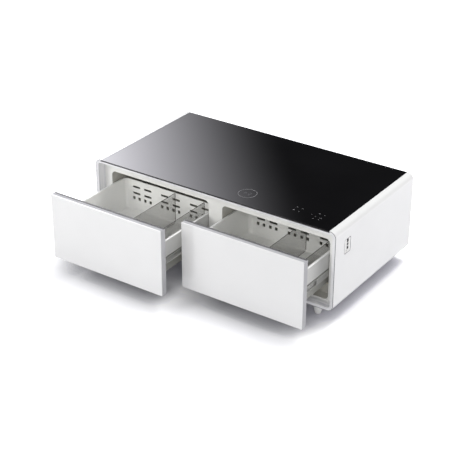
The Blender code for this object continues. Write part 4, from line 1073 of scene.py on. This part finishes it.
def make_back():
    """The back sheet with two columns of hooded louvres, the inlet's mouth and screws."""
    x, y, z = limits("back_panel")
    width, height = x[1] - x[0], z[1] - z[0]
    inlet_x, _, inlet_z = limits("power_inlet")
    bm = sharp_block(bmesh.new(), x, y, z, SHELL_RADIUS - SHELL_WALL - GAP)
    cuts = bmesh.new()
    through = inset(y, -OVERRUN)
    columns = [x[0] + share * width for share in LOUVRE_COLUMNS]
    first = z[0] + LOUVRE_FIRST
    for column in columns:
        for row in range(LOUVRE_ROWS):
            sharp_block(
                cuts, centred(column, LOUVRE_LENGTH), through,
                centred(first + row * LOUVRE_PITCH, LOUVRE_SLOT), LOUVRE_SLOT / 2 - GAP,
            )
    sharp_block(
        cuts, inset(inlet_x, INLET_MOUTH_INSET), through, inset(inlet_z, INLET_MOUTH_INSET),
        INLET_MOUTH_RADIUS,
    )
    piece(
        "back_sheet", bm, PLASTIC, "cabinet", "back_panel", (cuts,), SHEET_EDGE
    )
    hood = bmesh.new()
    bmesh.ops.create_uvsphere(
        hood, u_segments=HOOD_STEPS[0], v_segments=HOOD_STEPS[1], radius=1.0
    )
    # Blender makes a sphere's faces in another order in each run
    hood.verts.index_update()
    hood.faces.sort(key=lambda face: sum(corner.index**2 for corner in face.verts))
    hood.transform(
        Matrix.Diagonal((LOUVRE_LENGTH / 2 + HOOD_OVERLAP, HOOD_DEPTH, HOOD_HEIGHT, 1.0))
    )
    spans = (columns[1] - columns[0], (LOUVRE_ROWS - 1) * LOUVRE_PITCH)
    repeated(
        "louvre_hoods", hood, PLASTIC, "cabinet", "XZ",
        (len(columns), LOUVRE_ROWS), spans,
        (middle(columns), y[1], first + spans[1] / 2 + LOUVRE_SLOT),
    )
    screw = turned(bmesh.new(), SCREW_PROFILE, (0, 0), 2 * ARC)
    screw.transform(Matrix.Rotation(-math.pi / 2, 4, "X"))
    repeated(
        "back_screws", screw, ZINC_WITH_PAINTED_SHADE, "cabinet", "XZ", SCREWS,
        (width - 2 * SCREW_INSET[0], height - 2 * SCREW_INSET[1]), (middle(x), y[1], middle(z)),
    )


# Drawers

def make_front(name, body):
    """A drawer's door glass, the frame round it, and the dished inner skin behind."""
    x, y, z = limits(f"{name}_front_panel")
    piece(
        f"{name}_door_glass", soft_block(bmesh.new(), x, y, z, PANEL_RADIUS, RIM), DOOR, body,
        f"{name}_front_panel",
    )
    x, y, z = limits(f"{name}_edge_frame")
    outside = rounded(x, z, PANEL_RADIUS)
    inside = rounded(inset(x, FRAME_WALL), inset(z, FRAME_WALL), GAP)
    bm = skin(bmesh.new(), [
        stand(outside, y[0], "Y"), stand(outside, y[1], "Y"), stand(inside, y[1], "Y"),
        stand(inside, y[0], "Y"),
    ], ring=True)
    frame_ring = piece(
        f"{name}_frame", bm, FRAME, body, f"{name}_edge_frame", (), FINE_EDGE
    )
    # The share of its depth, which the frame's finish reads to paint light and shade on its top
    depth = frame_ring.data.attributes.new("depth", "FLOAT", "POINT")
    for vertex, value in zip(frame_ring.data.vertices, depth.data):
        value.value = (vertex.co.y - y[0]) / (y[1] - y[0])
    x, y, z = limits(f"{name}_inner_panel")
    bm = soft_block(bmesh.new(), x, y, z, GASKET_RADIUS, INNER_PANEL_SOFTNESS)
    dish = soft_block(
        bmesh.new(), inset(x, DISH_INSET), (y[1] - DISH_DEPTH, y[1] + OVERRUN),
        inset(z, DISH_INSET), DISH_RADIUS, DISH_SOFTNESS,
    )
    piece(f"{name}_inner_skin", bm, PLASTIC, body, f"{name}_inner_panel", (dish,))


def make_gasket(name, body):
    """A hollow-looking seal with a groove round its foot and a rounded bead."""
    x, y, z = limits(f"{name}_gasket")
    depth = y[1] - y[0]
    section = [*GASKET_SIDE, *((GASKET_WIDTH - d, share) for d, share in GASKET_SIDE[::-1])]
    loops = []
    for d, share in section:
        radius = max(GASKET_RADIUS - d, GASKET_LEAST_RADIUS)
        loops.append(stand(rounded(inset(x, d), inset(z, d), radius), y[0] + share * depth, "Y"))
    piece(
        f"{name}_seal", skin(bmesh.new(), loops, ring=True), SEAL, body, f"{name}_gasket",
    )


def make_tub(name, body):
    """A moulded tub with a rounded rim, a swept floor and air slots in its back wall."""
    x, y, z = limits(f"{name}_tub")
    arc = [math.pi / 2 * step / ARC for step in range(ARC + 1)]
    r, w = TUB_FLOOR_RADIUS, TUB_WALL
    levels = [(r * (1 - math.sin(a)), z[0] + r * (1 - math.cos(a))) for a in arc]
    levels += [
        (w / 2 * (1 - math.cos(2 * a)), z[1] - w / 2 + w / 2 * math.sin(2 * a)) for a in arc
    ]
    levels += [(w + r * (1 - math.sin(a)), z[0] + w + r * (1 - math.cos(a))) for a in arc[::-1]]
    loops = [
        stand(rounded(inset(x, d), inset(y, d), TUB_RADIUS - d), at, "Z") for d, at in levels
    ]
    bm = skin(bmesh.new(), loops)
    width, height = x[1] - x[0], z[1] - z[0]
    through = (y[1] - w - OVERRUN, y[1] + OVERRUN)
    vents = bmesh.new()
    for pair in (-1, 0, 1):
        for hand in (-1, 1):
            column = middle(x) + (pair * VENT_PAIR + hand * VENT_COLUMN / 2) * width
            for row in (0, 1):
                level = z[1] - (VENT_FIRST + row * VENT_ROW) * height
                sharp_block(
                    vents, centred(column, SLOT_SIZE[0]), through, centred(level, SLOT_SIZE[1]),
                    SLOT_SIZE[1] / 2 - GAP,
                )
            for offset in (-PORT_PITCH / 2, PORT_PITCH / 2):
                sharp_block(
                    vents, centred(column + offset, PORT_SIZE[0]), through,
                    centred(z[1] - VENT_PORT * height, PORT_SIZE[1]), PORT_RADIUS,
                )
    tub = piece(
        f"{name}_tub_moulding", bm, PLASTIC, body, f"{name}_tub", (vents,),
        FINE_EDGE,
    )
    # Marks the tub's outer sides, which its finish paints greyer as shade
    outside = tub.data.attributes.new("outside", "FLOAT", "POINT")
    ends = inset(x, w / 4)
    for vertex, value in zip(tub.data.vertices, outside.data):
        value.value = not ends[0] < vertex.co.x < ends[1]
    rib = soft_block(
        bmesh.new(), centred(0, RIB_WIDTH), centred(0, y[1] - y[0] - RIB_SHORTER), RIB_Z,
        RIB_RADIUS, RIB_SOFTNESS, "Z", FINE_ARC,
    )
    repeated(
        f"{name}_floor_ribs", rib, PLASTIC, body, "XY", (RIBS, 1),
        (width - RIBS_NARROWER, 0.0), (middle(x), middle(y), z[0] + w),
    )


def make_dividers(name, body):
    for which in ("inner", "outer"):
        node = f"{name}_{which}_divider"
        bm = soft_block(bmesh.new(), *limits(node), DIVIDER_RADIUS, DIVIDER_SOFTNESS, "X")
        piece(f"{node}_sheet", bm, SMOKED, body, node)


def strip(node, opens, steel, bend):
    """A strip bent to a C-section along a CAD node, with its web's place."""
    x, y, z = limits(node)
    web = x[0] if opens > 0 else x[1]
    outline = bent_strip(web, opens, x[1] - x[0], z, steel, bend)
    return skin(bmesh.new(), [stand(outline, at, "Y") for at in y]), web


def make_strips(name, body, middle_body):
    """The rails and the members of the slides, bent from strip."""
    for side, hand in (("left", -1), ("right", 1)):
        node = f"{name}_{side}_rail"
        bm, _ = strip(node, -hand, RAIL_STEEL, RAIL_BEND)
        piece(f"{node}_strip", bm, RAIL, body, node, (), STRIP_EDGE)
        for member, opens, rides in (
            ("fixed_slide", -hand, "cabinet"),
            ("middle_slide", -hand, middle_body),
            ("drawer_slide", hand, body),
        ):
            node = f"{name}_{side}_{member}"
            bm, web = strip(node, opens, SLIDE_STEEL, SLIDE_BENDS[member])
            _, y, z = limits(node)
            holes = bmesh.new()
            for share in SLIDE_HOLES:
                spot = (y[0] + share * (y[1] - y[0]), middle(z))
                hole = circle(spot, SLIDE_HOLE_RADIUS, 2 * ARC)
                skin(holes, [stand(hole, at, "X") for at in centred(web, 4 * SLIDE_STEEL)])
            piece(f"{node}_strip", bm, ZINC_WITH_PAINTED_SHADE, rides, node, (holes,), STRIP_EDGE)


make_shell()
make_trim()
make_glass()
make_charging_spot()
make_key_marks()
make_fascia()
make_socket()
make_back()
for side in ("left", "right"):
    make_liner(side)
    for end in ("front", "rear"):
        make_foot(f"{end}_{side}_foot")
for side in ("left", "right"):
    # A drawer's pieces and the body that they ride on have the same name
    drawer = f"{side}_drawer"
    make_front(drawer, drawer)
    make_gasket(drawer, drawer)
    make_tub(drawer, drawer)
    make_dividers(drawer, drawer)
    make_strips(drawer, drawer, f"{side}_middle_slides")

refinish(FOAM, "insulation", "left_drawer_foam_core", "right_drawer_foam_core")
refinish(ALUMINIUM, "left_evaporator", "right_evaporator")
refinish(COPPER, "condenser_coil", "discharge_pipe", "liquid_line", "evaporator_link",
         "suction_pipe")
refinish(ENAMEL, "compressor")
refinish(BLACK_PLASTIC, "charger_pad", "socket_module", "power_inlet", "condenser_fan_frame",
         "condenser_fan_impeller")
refinish(BOARD, "touch_board")
refinish(GREY_PLASTIC, "control_box")


# Floor, light and camera

def make_floor():
    """A pale floor that shows as white, keeps the table's shadow and has a painted contact shadow.
    """
    bm = bmesh.new()
    bmesh.ops.create_grid(bm, x_segments=1, y_segments=1, size=FLOOR_SIZE)
    floor = new_object("floor", bm)
    made = bpy.data.materials.new("pale_floor")
    made.use_nodes = True
    tree = made.node_tree
    shader = tree.nodes["Principled BSDF"]
    shader.inputs["Roughness"].default_value = FLOOR_ROUGHNESS
    shader.inputs["Specular IOR Level"].default_value = 0.0
    seen = add(tree, "ShaderNodeLightPath").outputs
    direct = reckon(tree, "MAXIMUM", seen["Is Camera Ray"], seen["Is Glossy Ray"])
    direct = reckon(tree, "MAXIMUM", direct, seen["Is Transmission Ray"])
    where = add(tree, "ShaderNodeTexCoord").outputs["Object"]
    spot = add(tree, "ShaderNodeSeparateXYZ", {"Vector": where}).outputs
    # The painted contact shadow: ambient occlusion within a reach darkens the floor's colour
    reach = reckon(
        tree, "MAXIMUM", spread(tree, spot["Y"], *CONTACT_REACH, *CONTACT_TURN),
        spread(tree, spot["X"], *CORNER_REACH, *CORNER_TURN),
    )
    near = add(
        tree, "ShaderNodeAmbientOcclusion", {"Distance": reach}, samples=CONTACT_SAMPLES
    ).outputs["AO"]
    open_share = spread(tree, near, *WHOLE, *CONTACT_SPAN)
    turn = spread(tree, spot["Y"], *WHOLE, *CONTACT_TURN)
    shade = blend(tree, turn, CONTACT_SHADE, SIDE_SHADE)
    seen_colour = blend(tree, open_share, shade, FLOOR_SEEN)
    tree.links.new(
        blend(tree, direct, FLOOR_BOUNCE, seen_colour), shader.inputs["Base Color"]
    )
    away = add(tree, "ShaderNodeVectorMath", {0: where}, operation="LENGTH").outputs["Value"]
    lift = reckon(tree, "MULTIPLY", direct, spread(tree, away, *FLOOR_LIFT))
    tree.links.new(lift, shader.inputs["Emission Strength"])
    shader.inputs["Emission Color"].default_value = (*PLAIN, 1.0)
    floor.data.materials.append(made)


def make_world():
    """A soft white studio. What is glossy mirrors a bright card, which stands behind at the left
    and brightens away from the table, and fainter walls and a ceiling."""
    world = bpy.data.worlds.new("studio")
    bpy.context.scene.world = world
    world.use_nodes = True
    tree = world.node_tree
    back = tree.nodes["Background"]
    way = add(tree, "ShaderNodeTexCoord").outputs["Generated"]
    split = add(tree, "ShaderNodeSeparateXYZ", {"Vector": way}).outputs
    path = add(tree, "ShaderNodeLightPath").outputs

    slant = reckon(tree, "MULTIPLY", split["Z"], CARD_SLANT)
    across = reckon(tree, "SUBTRACT", slant, split["X"])
    rise = spread(tree, across, 0.0, CARD_PEAK, CARD_START, CARD_START + CARD_PEAK / CARD_SLOPE)
    behind = spread(tree, split["Y"], *WHOLE, *CARD_BEHIND)
    card = reckon(tree, "MULTIPLY", reckon(tree, "MULTIPLY", rise, rise), behind)
    around = spread(tree, split["Y"], *MIRRORED_AROUND)
    above = spread(tree, split["Z"], *MIRRORED_ABOVE)
    mirrored = reckon(tree, "ADD", card, reckon(tree, "ADD", around, above))
    glossy, camera = path["Is Glossy Ray"], path["Is Camera Ray"]
    level = blend(tree, glossy, AMBIENT, mirrored, MIX_NUMBERS)
    tree.links.new(blend(tree, camera, level, 1.0, MIX_NUMBERS), back.inputs["Strength"])
    tint = blend(tree, glossy, AMBIENT_TINT, CARD_TINT)
    tree.links.new(blend(tree, camera, tint, PLAIN), back.inputs["Color"])


def make_lamp(name, spot, target, size, power):
    """A soft rectangular lamp that shines at a target."""
    data = bpy.data.lights.new(name, "AREA")
    data.shape = "RECTANGLE"
    data.size, data.size_y = size
    data.energy = power
    data.color = WARM
    lamp = bpy.data.objects.new(name, data)
    lamp.location = spot
    lamp.rotation_euler = (Vector(target) - Vector(spot)).to_track_quat("-Z", "Y").to_euler()
    lamp.visible_camera = False
    bpy.context.scene.collection.objects.link(lamp)


def make_camera():
    """The photograph's view, fitted to the edges of the glass and the cabinet."""
    data = bpy.data.cameras.new("camera")
    data.sensor_width = CAMERA_SENSOR
    data.lens = CAMERA_LENS
    data.clip_end = CAMERA_REACH
    camera = bpy.data.objects.new("camera", data)
    to_right, ahead, up = CAMERA_PLACE
    camera.location = (to_right, TRIM_Y[0] - ahead, up)
    camera.rotation_euler = (math.pi / 2 - CAMERA_DOWN, 0.0, CAMERA_TURN)
    bpy.context.scene.collection.objects.link(camera)
    bpy.context.scene.camera = camera


make_floor()
make_world()
for lamp in LAMPS:
    make_lamp(*lamp)
make_camera()
bpy.context.scene.view_settings.view_transform = "Standard"
